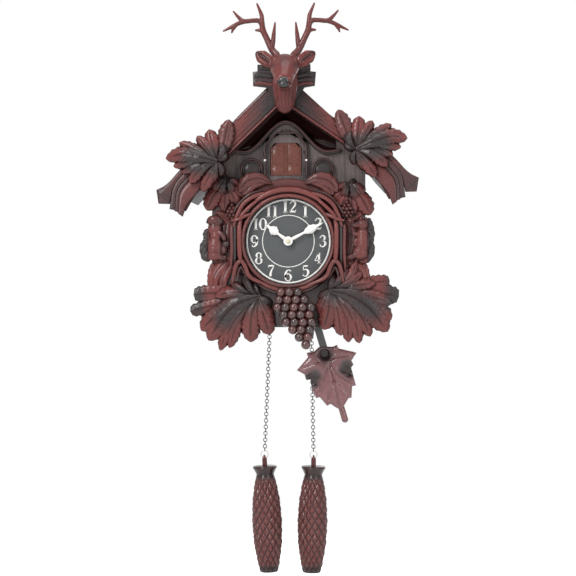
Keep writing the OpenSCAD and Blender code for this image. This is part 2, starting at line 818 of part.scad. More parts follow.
// Channel that guides the perch bar, screwed to the back board
module bird_rail() {
    half = bar_half + 3;
    color(ebony) translate([door_x, 0, 0]) difference() {
        union() {
            box([-half, y_fb + 2, rail_foot - 2], [half, y_in, rail_foot + bar_h + 1.6]);
            box([-12, y_in - 2, rail_foot - 10], [12, y_in, rail_foot + 12]);
        }
        box([-bar_half - slide_gap, y_fb, rail_foot - 3],
            [bar_half + slide_gap, y_in - 2 - tiny, rail_foot + bar_h + 3]);
        box([-bar_half - 1 - slide_gap, y_fb, rail_foot + 0.9 - slide_gap],
            [bar_half + 1 + slide_gap, y_in - 2 - tiny, rail_foot + 2.4 + slide_gap]);
    }
}

// Perch bar with side ribs that run in the rail and rack teeth beneath
module bird_carriage() {
    p = PI * rack_m;
    n = ceil((bar_back - bar_front) / p);
    color("gainsboro") translate([door_x, 0, 0]) {
        box([-bar_half, bar_front, rail_foot], [bar_half, bar_back, rail_foot + bar_h]);
        box([-bar_half - 1, bar_front + 12, rail_foot + 0.9],
            [bar_half + 1, bar_back, rail_foot + 2.4]);
        intersection() {
            box([-2, bar_front, rail_foot - 5], [2, bar_back, rail_foot + tiny]);
            for (i = [-2:n]) translate([-2, pinion_y + (i + 0.5) * p, rail_foot])
                rotate([90, 0, 90]) linear_extrude(4)
                    polygon([[-0.29 * p, 0], [-0.12 * p, -1.75 * rack_m], [0.12 * p, -1.75 * rack_m],
                             [0.29 * p, 0]]);
        }
    }
}

module drive_pinion() {
    color("gold") translate([door_x, pinion_y, pinion_z]) rotate([90, 0, 90]) {
        translate([0, 0, -2]) linear_extrude(4) gear_2d(rack_teeth, rack_m);
        translate([0, 0, -3]) cylinder(h = 12, r = 1.5, $fn = 32);
    }
}

module cuckoo_motor() {
    x = door_x + bar_half + 3;
    color("silver") difference() {
        box([x, pinion_y - 8, pinion_z - 9], [x + 20, pinion_y + 12, rail_foot + bar_h]);
        translate([x - 1, pinion_y, pinion_z]) rotate([0, 90, 0])
            cylinder(h = 6, r = 1.5 + run, $fn = 32);
    }
}

// Small songbird standing on the perch bar, facing out
module bird() {
    y = pinion_y + 7;
    top = rail_foot + bar_h;
    color("peru") translate([door_x, y, top]) {
        limb([[[0, 6, 9], 5.2], [[0, -2, 11], 6], [[0, -7, 16.5], 4.6], [[0, -13.4, 16], 0.7]], 14);
        limb([[[0, 7, 10], 3.6], [[0, 19, 15], 1.6]], 12);
        for (s = [-1, 1]) translate([s * 2, 0, 0]) cylinder(h = 8, r = 0.8, $fn = 16);
    }
}

// One door leaf: rounded hinge edge, pins top and bottom, sunk panels in two columns
module door(s) {
    edge_h = door_h - leaf_cut;
    bars = [0, 0.25, 0.51, 0.8];
    color("sienna") translate([door_x + s * hinge_x, door_axis_y, z_sill]) mirror([s > 0 ? 1 : 0, 0, 0])
        difference() {
            union() {
                plate(door_t / 2, door_t) polygon([[0, 0], [door_w, 0], [door_w, door_h],
                    [leaf_cut, door_h], [0, edge_h]]);
                cylinder(h = edge_h, r = door_t / 2, $fn = 32);
                translate([0, 0, -hinge_len]) cylinder(h = hinge_len + 1, r = hinge_r, $fn = 32);
                translate([0, 0, edge_h - 1]) cylinder(h = pin_top + 1, r = hinge_r, $fn = 32);
            }
            for (col = [0, 1], row = [0:2]) let (w = door_w / 2 - 2.2)
                box([1.8 + col * (w + 1.4), -door_t / 2 - 1, 1.8 + door_h * 0.31 * row],
                    [1.8 + w + col * (w + 1.4), -door_t / 2 + 0.6, door_h * 0.31 * (row + 1)
                     - (row == 2 && col == 0 ? 4.8 : 0)]);
        }
}

module door_left() door(-1);
module door_right() door(1);

// ---------------------------------------------------------------- sound, power and fixings

module speaker() {
    x = case_w / 2 - wall_t;
    color(ebony) translate([x, speaker_y, speaker_z]) rotate([0, -90, 0]) {
        difference() {
            cylinder(h = 3, r = speaker_r, $fn = 64);
            translate([0, 0, -1]) cylinder(h = 3, r = speaker_r - 3, $fn = 64);
        }
        translate([0, 0, 3 - tiny]) cylinder(h = 6, r1 = speaker_r - 5, r2 = 11, $fn = 48);
        translate([0, 0, 9 - 2 * tiny]) cylinder(h = 5, r = 11, $fn = 48);
    }
}

board_w = 38;

module circuit_board() {
    standoff = 8;
    y = y_in - standoff;
    x = case_w / 2 - wall_t - 4;
    color("darkgreen") box([x - board_w, y - 1.6, z_dial + 12], [x, y, z_dial + 66]);
    color("gainsboro") for (at = [x - board_w + 4, x - 4], z = [z_dial + 16, z_dial + 62])
        pin_y(at, z, y_in, standoff, 1.5);
    color(ebony) {
        box([switch_x - 5, y, switch_z - 7], [switch_x + 5, y + 3, switch_z + 7]);
        box([x - board_w + 8, y - 3.6, z_dial + 20], [x - 10, y - 1.6, z_dial + 30]);
    }
}

module volume_switch() {
    color("red") {
        box([switch_x - switch_w / 2, y_in - 5 + 0.3, switch_z - switch_h / 2],
            [switch_x + switch_w / 2, -0.8, switch_z + switch_h / 2]);
    }
}

cell_r = 13;
cell_len = 50;
box_wall = 1.5;
box_half = cell_len / 2 + 1 + box_wall;
box_foot = hatch_foot + hatch_ledge;
box_top = box_foot + 4 * cell_r + 2 * box_wall + 1;
box_front = y_in - 2 * cell_r - box_wall - 1;

module battery_box() {
    color(ebony) difference() {
        box([-box_half, box_front, box_foot], [box_half, y_in, box_top]);
        box([-box_half + box_wall, box_front + box_wall, box_foot + box_wall],
            [box_half - box_wall, y_in + 1, box_top - box_wall]);
    }
}

module battery_cells() {
    color("goldenrod") for (i = [0, 1])
        translate([-cell_len / 2, box_front + box_wall + cell_r + 0.3,
                   box_foot + box_wall + cell_r + 0.3 + i * (2 * cell_r + 0.4)])
            rotate([0, 90, 0]) {
                cylinder(h = cell_len - 1.5, r = cell_r, $fn = 48);
                cylinder(h = cell_len, r = 3, $fn = 32);
            }
}

module battery_hatch() {
    color(smoke) difference() {
        box([-hatch_w / 2 + slide_gap, -hatch_t - 0.5, hatch_foot + slide_gap],
            [hatch_w / 2 - slide_gap, -0.5, hatch_top - slide_gap]);
        for (i = [0:3]) box([-8, -1.2, hatch_top - 8 - i * 3], [8, 0, hatch_top - 6.8 - i * 3]);
    }
}

module case_screws() {
    color("silver") at_screws() {
        pin_y(0, 0, -screw_head_t + 1, screw_len - screw_head_t + 1, screw_r);
        pin_y(0, 0, -tiny, screw_head_t - tiny, screw_head_r);
    }
}

// ---------------------------------------------------------------- chains and weights

hook_shank_r = 1;
hook_r = 3;
hook_wire = 0.8;
hook_z = z_floor - 5;
link_half = 2.05;
link_in = (link_pitch + wire_r * 2 - link_half * 2) / 2 + 0.02;
swing_z = hook_z - hook_r;
end_ring_r = 4.4;

module torus(big, small) {
    rotate_extrude($fn = 40) translate([big, 0]) circle(r = small, $fn = 20);
}

module chain_hooks() {
    color("dimgray") for (s = [-1, 1]) translate([s * chain_x, y_chain, 0]) {
        translate([0, 0, hook_z]) rotate([90, 0, 0]) torus(hook_r, hook_wire);
        translate([0, 0, hook_z + hook_r - 0.3]) cylinder(h = 5 - hook_r + wall_t, r = hook_shank_r,
            $fn = 32);
    }
}

// A link hanging in the x-z plane, its wire's centre line link_half out and link_in straight
module link() {
    rotate([90, 0, 0]) for (k = [0, 1]) mirror([0, k, 0]) {
        translate([0, link_in, 0]) rotate_extrude(angle = 180, $fn = 28) translate([link_half, 0])
            circle(r = wire_r, $fn = 14);
        for (s = [-1, 1]) translate([s * link_half, 0, 0]) rotate([-90, 0, 0])
            cylinder(h = link_in, r = wire_r, $fn = 14);
    }
}

first_drop = link_half + link_in - hook_wire - wire_r - 0.3;
ring_drop = first_drop + (links - 1) * link_pitch + link_half + link_in - 2 * wire_r - 0.15
    + end_ring_r;
peg_drop = ring_drop + end_ring_r;

// Hangs a piece from hook s and leans it outwards
module hung(s) {
    translate([s * chain_x, y_chain, swing_z])
        rotate([0, s < 0 ? lean_left : -lean_right, 0]) children();
}

module chain(s) {
    color("dimgray") hung(s) {
        for (i = [0:links - 1]) translate([0, 0, -first_drop - i * link_pitch])
            rotate(i % 2 == 0 ? 90 : 0) link();
        translate([0, 0, -ring_drop]) rotate([90, 0, 0]) torus(end_ring_r, 0.5);
    }
}

module chain_left() chain(-1);
module chain_right() chain(1);

// Cone weight below its cap and peg; the peg's cross hole hangs on the chain's end ring
module weight(s) {
    top = peg_drop + 10;
    color(mahogany) hung(s) difference() {
        union() {
            translate([0, 0, -top - 10 - cone_len]) rotate_extrude($fn = 64) polygon([
                [0, 0], [10.5, 0], [13, 12], [cone_r - 1, 35], [cone_r, 62], [cone_r - 1.4, 88],
                [12.6, 112], [10.6, cone_len], [12.5, cone_len + 4], [14.8, cone_len + 8],
                [14.2, cone_len + 10], [0, cone_len + 10]]);
            translate([0, 0, -top - 1]) cylinder(h = 14, r = 2.4, $fn = 32);
        }
        translate([-5, 0, -peg_drop]) rotate([0, 90, 0]) cylinder(h = 10, r = 1.7, $fn = 32);
    }
}

module weight_left() weight(-1);
module weight_right() weight(1);

// ---------------------------------------------------------------- drawing

back_board();
side_wall_left();
side_wall_right();
floor_board();
front_board();
roof_panel_left();
roof_panel_right();
bargeboard_left();
bargeboard_right();
roof_leaf_left();
roof_leaf_right();
ridge_bracket();
stag_head();
antler_left();
antler_right();
gable_moulding();
doorway_frame();
window_arches();
sill_leaves();
dial_frame();
dial_plate();
squirrel_left();
squirrel_right();
shoulder_leaf_left();
shoulder_leaf_right();
base_leaf_left();
base_leaf_right();
grape_bunch();
movement_case();
movement_cover();
stepper_motor();
clock_battery();
bushing_nut();
pendulum_drive();
bird_rail();
cuckoo_motor();
circuit_board();
speaker();
battery_box();
battery_cells();
chain_hooks();
case_screws();
door_left();
door_right();
bird();
bird_carriage();
drive_pinion();
minute_hand();
minute_arbor();
hour_hand();
hour_wheel();
setting_wheel();
pendulum_rod();
pendulum_leaf();
chain_left();
chain_right();
weight_left();
weight_right();
battery_hatch();
volume_switch();
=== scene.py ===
"""Quartz cuckoo clock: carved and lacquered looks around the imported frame.

Lengths below are millimetres in the frame's own axes (the clock faces -y, +x is to the viewer's
right, +z is up) and become metres when a mesh is written. Every new piece is a set of rings: a
closed skin whose rows are worked out as whole arrays and whose two ends close on a point, or whose
last row joins the first.
"""

import json
import math

import bpy
import numpy as np
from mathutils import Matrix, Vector


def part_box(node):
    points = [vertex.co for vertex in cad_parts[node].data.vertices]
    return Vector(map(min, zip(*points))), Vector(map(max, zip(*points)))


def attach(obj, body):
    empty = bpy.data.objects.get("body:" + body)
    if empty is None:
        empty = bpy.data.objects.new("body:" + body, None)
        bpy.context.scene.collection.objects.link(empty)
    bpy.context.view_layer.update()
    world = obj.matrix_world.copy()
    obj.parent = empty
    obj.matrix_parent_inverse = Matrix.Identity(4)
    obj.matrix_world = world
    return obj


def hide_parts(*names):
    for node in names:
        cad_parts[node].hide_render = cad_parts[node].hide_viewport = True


bl_info = {
    "name": "Cuckoo clock",
    "version": (1, 0, 0),
    "blender": (4, 5, 0),
    "location": "View3D > Sidebar > Cuckoo clock",
    "description": "Dresses the cuckoo clock's frame in carved, shaded and lacquered pieces",
    "category": "Object",
}

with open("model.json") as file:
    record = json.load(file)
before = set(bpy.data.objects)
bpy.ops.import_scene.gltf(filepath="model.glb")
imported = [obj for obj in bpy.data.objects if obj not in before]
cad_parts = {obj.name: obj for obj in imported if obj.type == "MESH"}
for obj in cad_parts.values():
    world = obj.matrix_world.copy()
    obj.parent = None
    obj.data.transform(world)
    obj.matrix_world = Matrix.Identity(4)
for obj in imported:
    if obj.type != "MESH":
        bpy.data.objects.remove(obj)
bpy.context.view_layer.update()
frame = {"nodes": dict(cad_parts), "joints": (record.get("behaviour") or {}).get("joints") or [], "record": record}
MM = 0.001
SIDES = ((-1, "left"), (1, "right"))
FRONT = np.array([0.0, -1.0, 0.0])
STUDIO_LEVEL = 0.24
FLOOR_GLOW = 0.8


def corners(node):
    """Lowest and highest corner of a frame node, in millimetres."""
    low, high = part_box(node)
    return np.array(low) / MM, np.array(high) / MM


def joint_place(name):
    """A hinge's place in the frame, in millimetres."""
    for joint in frame["joints"]:
        if joint["name"] == name:
            return np.array(joint["pos_m"]) / MM
    raise KeyError(name)


def body_with(node):
    """The body that a frame node moves with."""
    for body, nodes in frame["record"]["behaviour"]["bodies"].items():
        if node in nodes:
            return body
    raise KeyError(node)


def of_side(node, s):
    """Name of the left or the right one of a pair of nodes: side -1 is left and 1 is right."""
    return node + ("_left" if s < 0 else "_right")


# ---- places taken from the frame

BOARD_Y = corners("front_board")[0][1]
FLOOR_Z = corners("floor_board")[0][2]
DIAL_LOW, DIAL_HIGH = corners("dial_plate")
DIAL_R = (DIAL_HIGH[0] - DIAL_LOW[0]) / 2
DIAL_X = (DIAL_HIGH[0] + DIAL_LOW[0]) / 2
DIAL_Z = (DIAL_HIGH[2] + DIAL_LOW[2]) / 2
DIAL_Y = DIAL_LOW[1]
ROOF_Y = corners("bargeboard_left")[1][1]
BARGE_Y = corners("bargeboard_left")[0][1]
BRACKET_Y = corners("ridge_bracket")[0][1]
RIDGE_X = corners("bargeboard_left")[1][0]
RIDGE_Z = corners("back_board")[1][2]
CASE_HALF = corners("back_board")[1][0]
DOOR_X = (corners("door_left")[0][0] + corners("door_right")[1][0]) / 2
SILL_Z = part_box("bird")[0][2] / MM - 6
PIVOT = joint_place("pendulum_swing")
RING_OUT = 62.5 / 51 * DIAL_R


# ---- number helpers

def smooth(low, high, value):
    """Smooth step: 0 below low, 1 above high and a cubic between them."""
    t = np.clip((value - low) / (high - low), 0, 1)
    return t * t * (3 - 2 * t)


def bell(distance, width):
    """Gaussian bump of the given half width, 1 in its middle."""
    return np.exp(-(distance / width) ** 2)


def full_turn(count):
    """Even angles once round, in radians."""
    return np.linspace(0, 2 * np.pi, count, endpoint=False)


def points(x, y, z):
    """Places (..., 3) from three arrays or numbers."""
    return np.stack(np.broadcast_arrays(x, y, z), -1).astype(float)


def unit(rows):
    """Vectors brought to length 1."""
    return rows / np.maximum(np.linalg.norm(rows, axis=-1, keepdims=True), 1e-9)


def run_along(path):
    """Distance run along a path at each of its points."""
    return np.concatenate([[0], np.cumsum(np.linalg.norm(np.diff(path, axis=0), axis=1))])


def spread(values, count):
    """Values that stand evenly along a piece, read off at an even number of steps."""
    return np.interp(np.linspace(0, 1, count), np.linspace(0, 1, len(values)), values)


def divided(line, count):
    """A polyline with every edge cut into equal steps, without its last point."""
    line, share = np.asarray(line, float), np.linspace(0, 1, count, endpoint=False)[:, None]
    return np.vstack([a + (b - a) * share for a, b in zip(line[:-1], line[1:])])


def aside_of(line):
    """Unit vectors to the left of a line in a plane, rows (x, z)."""
    ahead = unit(np.gradient(line, axis=0))
    return np.stack([-ahead[:, 1], ahead[:, 0]], -1)


def spline(places, count):
    """Points on a Catmull-Rom curve through the given ones, evenly spread in its parameter."""
    p = np.asarray(places, float)
    p = np.vstack([2 * p[0] - p[1], p, 2 * p[-1] - p[-2]])
    t = np.linspace(0, len(p) - 3 - 1e-9, count)
    i = t.astype(int)
    f = (t - i)[:, None]
    a, b, c, d = p[i], p[i + 1], p[i + 2], p[i + 3]
    return 0.5 * (2 * b + (c - a) * f + (2 * a - 5 * b + 4 * c - d) * f ** 2
                  + (3 * b - a - 3 * c + d) * f ** 3)


# ---- skins and meshes

def outward(verts, quads, tris):
    """The faces, turned over where the volume that they enclose comes out negative."""
    volume = 0
    for face in (tris, quads[:, :3], quads[:, [0, 2, 3]]):
        one, two, three = (verts[face[:, k]] for k in range(3))
        volume += np.einsum("ij,ij->i", one, np.cross(two, three)).sum()
    return (quads[:, ::-1], tris[:, ::-1]) if volume < 0 else (quads, tris)


def skin(rings, smoke=0.0, groove=0.0, ends=None, loop=False):
    """Closed skin over rings, an array (rows, points, 3). Neighbouring rings are joined by
    quads. Each end is closed by triangles to a point, the ring's middle unless given, or, in a
    loop, the last ring is joined to the first. Smoke and groove are shading values, one number
    or an array (rows, points)."""
    rings = np.asarray(rings, float)
    rows, count = rings.shape[:2]
    row, col = np.meshgrid(np.arange(rows if loop else rows - 1), np.arange(count), indexing="ij")
    ahead, nxt = (row + 1) % rows, (col + 1) % count
    quads = np.stack([row * count + col, row * count + nxt, ahead * count + nxt,
                      ahead * count + col], -1).reshape(-1, 4)
    verts, tris = rings.reshape(-1, 3), np.zeros((0, 3), int)
    shades = [np.broadcast_to(np.asarray(value, float), (rows, count)) for value in (smoke, groove)]
    tips = [[], []]
    if not loop:
        col, start = np.arange(count), rows * count
        nxt, last = (col + 1) % count, (rows - 1) * count
        tris = np.vstack([np.stack([nxt, col, np.full(count, start)], -1),
                          np.stack([last + col, last + nxt, np.full(count, start + 1)], -1)])
        verts = np.vstack([verts, *(ends if ends is not None else rings[[0, -1]].mean(1))])
        tips = [[value[0].mean(), value[-1].mean()] for value in shades]
    shades = [np.concatenate([value.reshape(-1), tip]) for value, tip in zip(shades, tips)]
    return verts, *outward(verts, quads, tris), *shades


def mesh_of(name, skins):
    """One mesh from several skins, in metres, with its smoke and groove attributes."""
    offsets = np.cumsum([0] + [len(s[0]) for s in skins])
    verts = np.vstack([s[0] for s in skins]) * MM
    quads, tris = (np.vstack([s[k] + o for s, o in zip(skins, offsets)]) for k in (1, 2))
    mesh = bpy.data.meshes.new(name)
    mesh.vertices.add(len(verts))
    mesh.vertices.foreach_set("co", verts.reshape(-1))
    mesh.loops.add(quads.size + tris.size)
    mesh.loops.foreach_set("vertex_index", np.concatenate([quads.reshape(-1), tris.reshape(-1)]))
    sizes = np.concatenate([np.full(len(quads), 4), np.full(len(tris), 3)])
    mesh.polygons.add(len(sizes))
    mesh.polygons.foreach_set("loop_start", np.concatenate([[0], np.cumsum(sizes)[:-1]]))
    mesh.polygons.foreach_set("use_smooth", np.ones(len(sizes), bool))
    mesh.update(calc_edges=True)
    shade(mesh, np.concatenate([s[3] for s in skins]), np.concatenate([s[4] for s in skins]))
    mesh.validate()
    return mesh


def shade(mesh, smoke, groove):
    """Writes the two shading values of every vertex."""
    for name, values in (("smoke", smoke), ("groove", groove)):
        layer = mesh.attributes.get(name) or mesh.attributes.new(name, "FLOAT", "POINT")
        layer.data.foreach_set("value", np.clip(values, 0, 1).astype(np.float32))


def read(rows, key, width=1, kind=np.float32):
    """One property of a mesh's rows as an array of the given width."""
    values = np.empty(len(rows) * width, kind)
    rows.foreach_get(key, values)
    return values.reshape(-1, width) if width > 1 else values


def deepen(mesh, depth, cell=0.8):
    """Painted shade: darkens what lies behind its surroundings as seen from the front, where hollows and undercuts
    fall into shadow. The nearest surface is kept on a grid of cells and averaged over the cells within some four
    millimetres; a vertex darkens by how far it lies behind that average, fully at the given depth."""
    x, y, z = (read(mesh.vertices, "co", 3) / MM).T
    margin = 9
    col = ((x - x.min()) / cell).astype(int) + margin
    row = ((z - z.min()) / cell).astype(int) + margin
    nearest = np.full((row.max() + margin + 1, col.max() + margin + 1), np.inf)
    np.minimum.at(nearest, (row, col), y)
    shifts = [(i, j) for i in (-1, 0, 1) for j in (-1, 0, 1)]
    near = np.minimum.reduce([np.roll(nearest, shift, (0, 1)) for shift in shifts])
    known = np.isfinite(near)
    total, weight = np.where(known, near, 0.0), known.astype(float)
    for axis in (0, 1, 0, 1):
        total, weight = (sum(np.roll(grid, k, axis) for k in range(-2, 3)) / 5
                         for grid in (total, weight))
    behind = y - (total / np.maximum(weight, 1e-6))[row, col]
    smoke, groove = (read(mesh.attributes[name].data, "value") for name in ("smoke", "groove"))
    # Painted shade is added to the mask of staining and shade.
    shade(mesh, smoke, np.maximum(groove, 0.95 * smooth(0.15 * depth, depth, behind)))


def crease(mesh, place, rounds=9):
    """How hollow the surface is at every vertex, in millimetres: how far the mean of its
    surroundings, found by relaxing the places along the edges, lies in front of it."""
    count = len(place)
    a, b = read(mesh.edges, "vertices", 2, np.int32).T
    valence = np.maximum(np.bincount(a, minlength=count) + np.bincount(b, minlength=count), 1)
    calm = place.astype(float)
    for _ in range(rounds):
        calm = np.stack([(np.bincount(a, calm[b, k], count) + np.bincount(b, calm[a, k], count))
                         / valence for k in range(3)], -1)
    return ((calm - place) * read(mesh.vertex_normals, "vector", 3)).sum(1)


def piece(name, mesh, material, node, stands_for=True):
    """Puts a mesh into the scene, lets it ride with a frame node's body and names its finish."""
    obj = bpy.data.objects.new(name, mesh)
    bpy.context.scene.collection.objects.link(obj)
    mesh.materials.append(material)
    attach(obj, body_with(node))
    if stands_for:
        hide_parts(node)
    return obj


def melted(name, skins, voxel, relax, shading, push):
    """Skins fused into one by a voxel remesh and relaxed. The push function moves the points
    out along their normals, and the shading function gives smoke and groove, from places."""
    raw = mesh_of(name + "_raw", skins)
    obj = bpy.data.objects.new(name + "_raw", raw)
    bpy.context.scene.collection.objects.link(obj)
    remesh = obj.modifiers.new("fuse", "REMESH")
    remesh.mode = "VOXEL"
    remesh.voxel_size = voxel * MM
    smoother = obj.modifiers.new("relax", "SMOOTH")
    smoother.factor = 0.5
    smoother.iterations = relax
    evaluated = obj.evaluated_get(bpy.context.evaluated_depsgraph_get())
    mesh = bpy.data.meshes.new_from_object(evaluated)
    mesh.name = name
    bpy.data.objects.remove(obj)
    bpy.data.meshes.remove(raw)
    place = read(mesh.vertices, "co", 3) / MM
    normal = read(mesh.vertex_normals, "vector", 3)
    smoke, groove = shading(place, normal)
    place = place + normal * push(place, normal)[:, None]
    mesh.vertices.foreach_set("co", (place * MM).reshape(-1))
    mesh.polygons.foreach_set("use_smooth", np.ones(len(mesh.polygons), bool))
    mesh.update()
    # Painted shade: hollow creases darken by how far they lie behind their surroundings.
    shallow, deep = 0.06, 0.45
    hollow = smooth(shallow, deep, crease(mesh, place))
    shade(mesh, smoke, np.maximum(groove, 0.9 * hollow))
    return mesh


# ---- solid forms

def ring_frames(path, first=None):
    """Side and up at each point of a path. The side starts towards the first direction and is
    carried along by taking the part of the last side that is square to the new tangent."""
    tangent = unit(np.gradient(path, axis=0))
    if first is None:
        first = FRONT if abs(tangent[0][1]) < 0.9 else (1.0, 0.0, 0.0)
    guess = np.array(first, float)
    sides = []
    for t in tangent:
        guess = unit(guess - t * np.dot(guess, t))
        sides.append(guess)
    side = np.array(sides)
    return side, np.cross(tangent, side)


def tube(path, radius, sides=16, flat=1.0, smoke=0.0, groove=0.0, bumps=None, side_first=None):
    """Tube along a path: each ring is a circle of the radius there, squeezed by flat along its
    side, and the ends taper over one radius to round ones. Bumps, given as a function of the
    share along the path and of the angle, are added to the radius."""
    path = np.asarray(path, float)
    flat = np.broadcast_to(np.asarray(flat, float), len(path))[:, None]
    radius = np.broadcast_to(np.asarray(radius, float), len(path))
    run = run_along(path)
    reach = np.clip(np.minimum(run, run[-1] - run) / np.maximum(radius, 1e-6), 0, 1)
    radius = radius * np.sqrt(np.clip(1 - (1 - reach) ** 2, 0.02, 1))
    side, up = ring_frames(path, side_first)
    angle = full_turn(sides)
    size = radius[:, None] * np.ones(sides)
    if bumps is not None:
        size = size + bumps(np.linspace(0, 1, len(path))[:, None], angle[None, :])
    rings = (path[:, None] + (size * np.cos(angle) * flat)[..., None] * side[:, None]
             + (size * np.sin(angle))[..., None] * up[:, None])
    return skin(rings, smoke, groove, (path[0], path[-1]))


def lathe(profile, centre, count):
    """Closed solid of revolution about the y axis: profile rows are (radius, depth)."""
    radius, depth = np.asarray(profile, float).T[..., None]
    angle = full_turn(count)
    return skin(points(radius * np.cos(angle), depth, radius * np.sin(angle)) + centre)


def ball(centre, radius, rows=12, count=16, smoke=0.0, groove=0.0):
    """Ellipsoid: rings at even steps of latitude with the three half sizes given."""
    radius = np.broadcast_to(np.asarray(radius, float), 3)
    latitude = np.linspace(0, np.pi, rows + 2)[1:-1][:, None]
    angle = full_turn(count)
    sphere = points(np.sin(latitude) * np.cos(angle), np.sin(latitude) * np.sin(angle),
                    np.cos(latitude))
    pole = np.array([0, 0, radius[2]])
    return skin(centre + sphere * radius, smoke, groove, (centre + pole, centre - pole))


def slab(outline, back, front, bevel, smoke=0.0, groove=0.0):
    """Flat board in the x-z plane with a bevelled front edge. The bevel pulls each outline
    point towards the mean of its neighbours' inward normals."""
    outline = np.asarray(outline, float)
    before, after = np.roll(outline, 1, 0), np.roll(outline, -1, 0)
    across = unit(after - before)
    area = np.sum(outline[:, 0] * after[:, 1] - after[:, 0] * outline[:, 1])
    normal = np.stack([-across[:, 1], across[:, 0]], -1) * np.sign(area)
    rings = []
    for y, inset in ((back, 0.0), (front + bevel, 0.0), (front + 0.3 * bevel, 0.3 * bevel),
                     (front, bevel)):
        x, z = (outline + normal * inset).T
        rings.append(points(x, y, z))
    x, z = outline.mean(0)
    return skin(rings, smoke, groove, points(x, np.array([back, front]), z))


# ---- carved leaves

def petal(path, wide, back, lifts, tone, foot=0.42, arch=0.4, rib=0.8, rim=0.3, blunt=0.62,
          lean=0.0, veins=0.0, rows=48, cols=19):
    """One carved lobe: a closed band along a curve (x, z) that is flat behind and domed in front. Its half width
    grows from the foot as a sine until 0.6 of its length and closes as a power of a circle, with a slight wave
    towards the tip. Its height follows the lifts, falls as a parabola across, leans to one side, and carries a
    channel along its middle and fine slanting side grooves. Tone, a function of x and z, gives the smoke."""
    t = np.linspace(0, 1, rows)
    s = t + 0.12 * np.sin(np.pi * t) ** 2 * t
    s = s / s[-1]
    line = spline(path, 200)
    run = run_along(line)
    line = np.stack([np.interp(s * run[-1], run, line[:, k]) for k in (0, 1)], -1)
    full = foot + (1 - foot) * np.sin(np.pi / 2 * np.clip(s / 0.6, 0, 1))
    close = (1 - np.clip((s - 0.6) / 0.4, 0, 1) ** 2.2) ** blunt
    notch = 1 + 0.07 * np.sin(2 * np.pi * s * run[-1] / 6.5) * smooth(0.35, 0.6, s)
    half = np.maximum(wide * full * close * notch, 0.25)[:, None]
    across = np.sin(np.linspace(-np.pi / 2, np.pi / 2, cols))[None, :]
    lift = np.interp(s, np.linspace(0, 1, len(lifts)), lifts)[:, None]
    seen = smooth(0.0, 0.08, s)[:, None] * (1 - smooth(0.8, 0.96, s))[:, None]
    middle = bell(across * half, 0.55) * seen
    phase = (s[:, None] * run[-1] - 1.4 * np.abs(across) * half) / 5.2
    side_cuts = bell((phase - np.round(phase)) * 5.2, 0.5) * seen * smooth(0.1, 0.4, 1 - across ** 2)
    height = lift * (1 - arch * across ** 2 - (1 - arch - rim) * across ** 10 + lean * across)
    height = height - rib * middle - veins * side_cuts
    height = np.maximum(height, rim * lift.min())
    spot = line[:, None] + aside_of(line)[:, None] * (half * across)[..., None]
    front = points(spot[..., 0], back - height, spot[..., 1])
    rear = front[:, [-1, 0]].copy()
    rear[..., 1] = back
    smoke = tone(spot[..., 0], spot[..., 1])
    # Cut mask: staining and painted shade in the middle channel and side cuts, painted shade along the lobe's
    # edges, at its foot and on its back walls.
    cut = 0.75 * middle + 0.45 * side_cuts * (veins > 0) + 0.6 * smooth(0.9, 1.0, np.abs(across))
    cut = cut + 0.35 * (1 - smooth(0, 0.2, s))[:, None]
    blank = np.full((rows, 2), 0.8)
    return skin(np.concatenate([front, rear], 1), np.hstack([smoke, smoke[:, [-1, 0]]]),
                np.hstack([np.clip(cut, 0, 1), blank]))


def spray(petals, hub, side, back, thick, tone, turn=0.0):
    """Petals around a hub. Each row is (path, half width, lifts, options) with paths measured
    outwards and up from the hub; side -1 mirrors them for the left, and turn swings them up."""
    c, n = math.cos(math.radians(turn)), math.sin(math.radians(turn))
    skins = []
    for path, wide, lifts, *options in petals:
        course = [(hub[0] + side * (x * c - z * n), hub[1] + x * n + z * c) for x, z in path]
        form = dict(*options)
        form["lean"] = side * form.get("lean", 0.0)
        shift = form.pop("smoke", 0.0)
        skins.append(petal(course, wide, back, [lift * thick for lift in lifts],
                           lambda x, z, shift=shift: tone(x, z) + shift, **form))
    return skins


def near_line(line, fade_from, fade_to):
    """Tone that is 1 along a polyline in the x-z plane and falls to 0 away from it."""
    line = np.asarray(line, float)

    def tone(x, z):
        best = np.full(np.shape(x), 1e9)
        for a, b in zip(line[:-1], line[1:]):
            run = b - a
            share = np.clip(((x - a[0]) * run[0] + (z - a[1]) * run[1]) / (run @ run), 0, 1)
            best = np.minimum(best, np.hypot(x - a[0] - share * run[0], z - a[1] - share * run[1]))
        return 1 - smooth(fade_from, fade_to, best)

    return tone


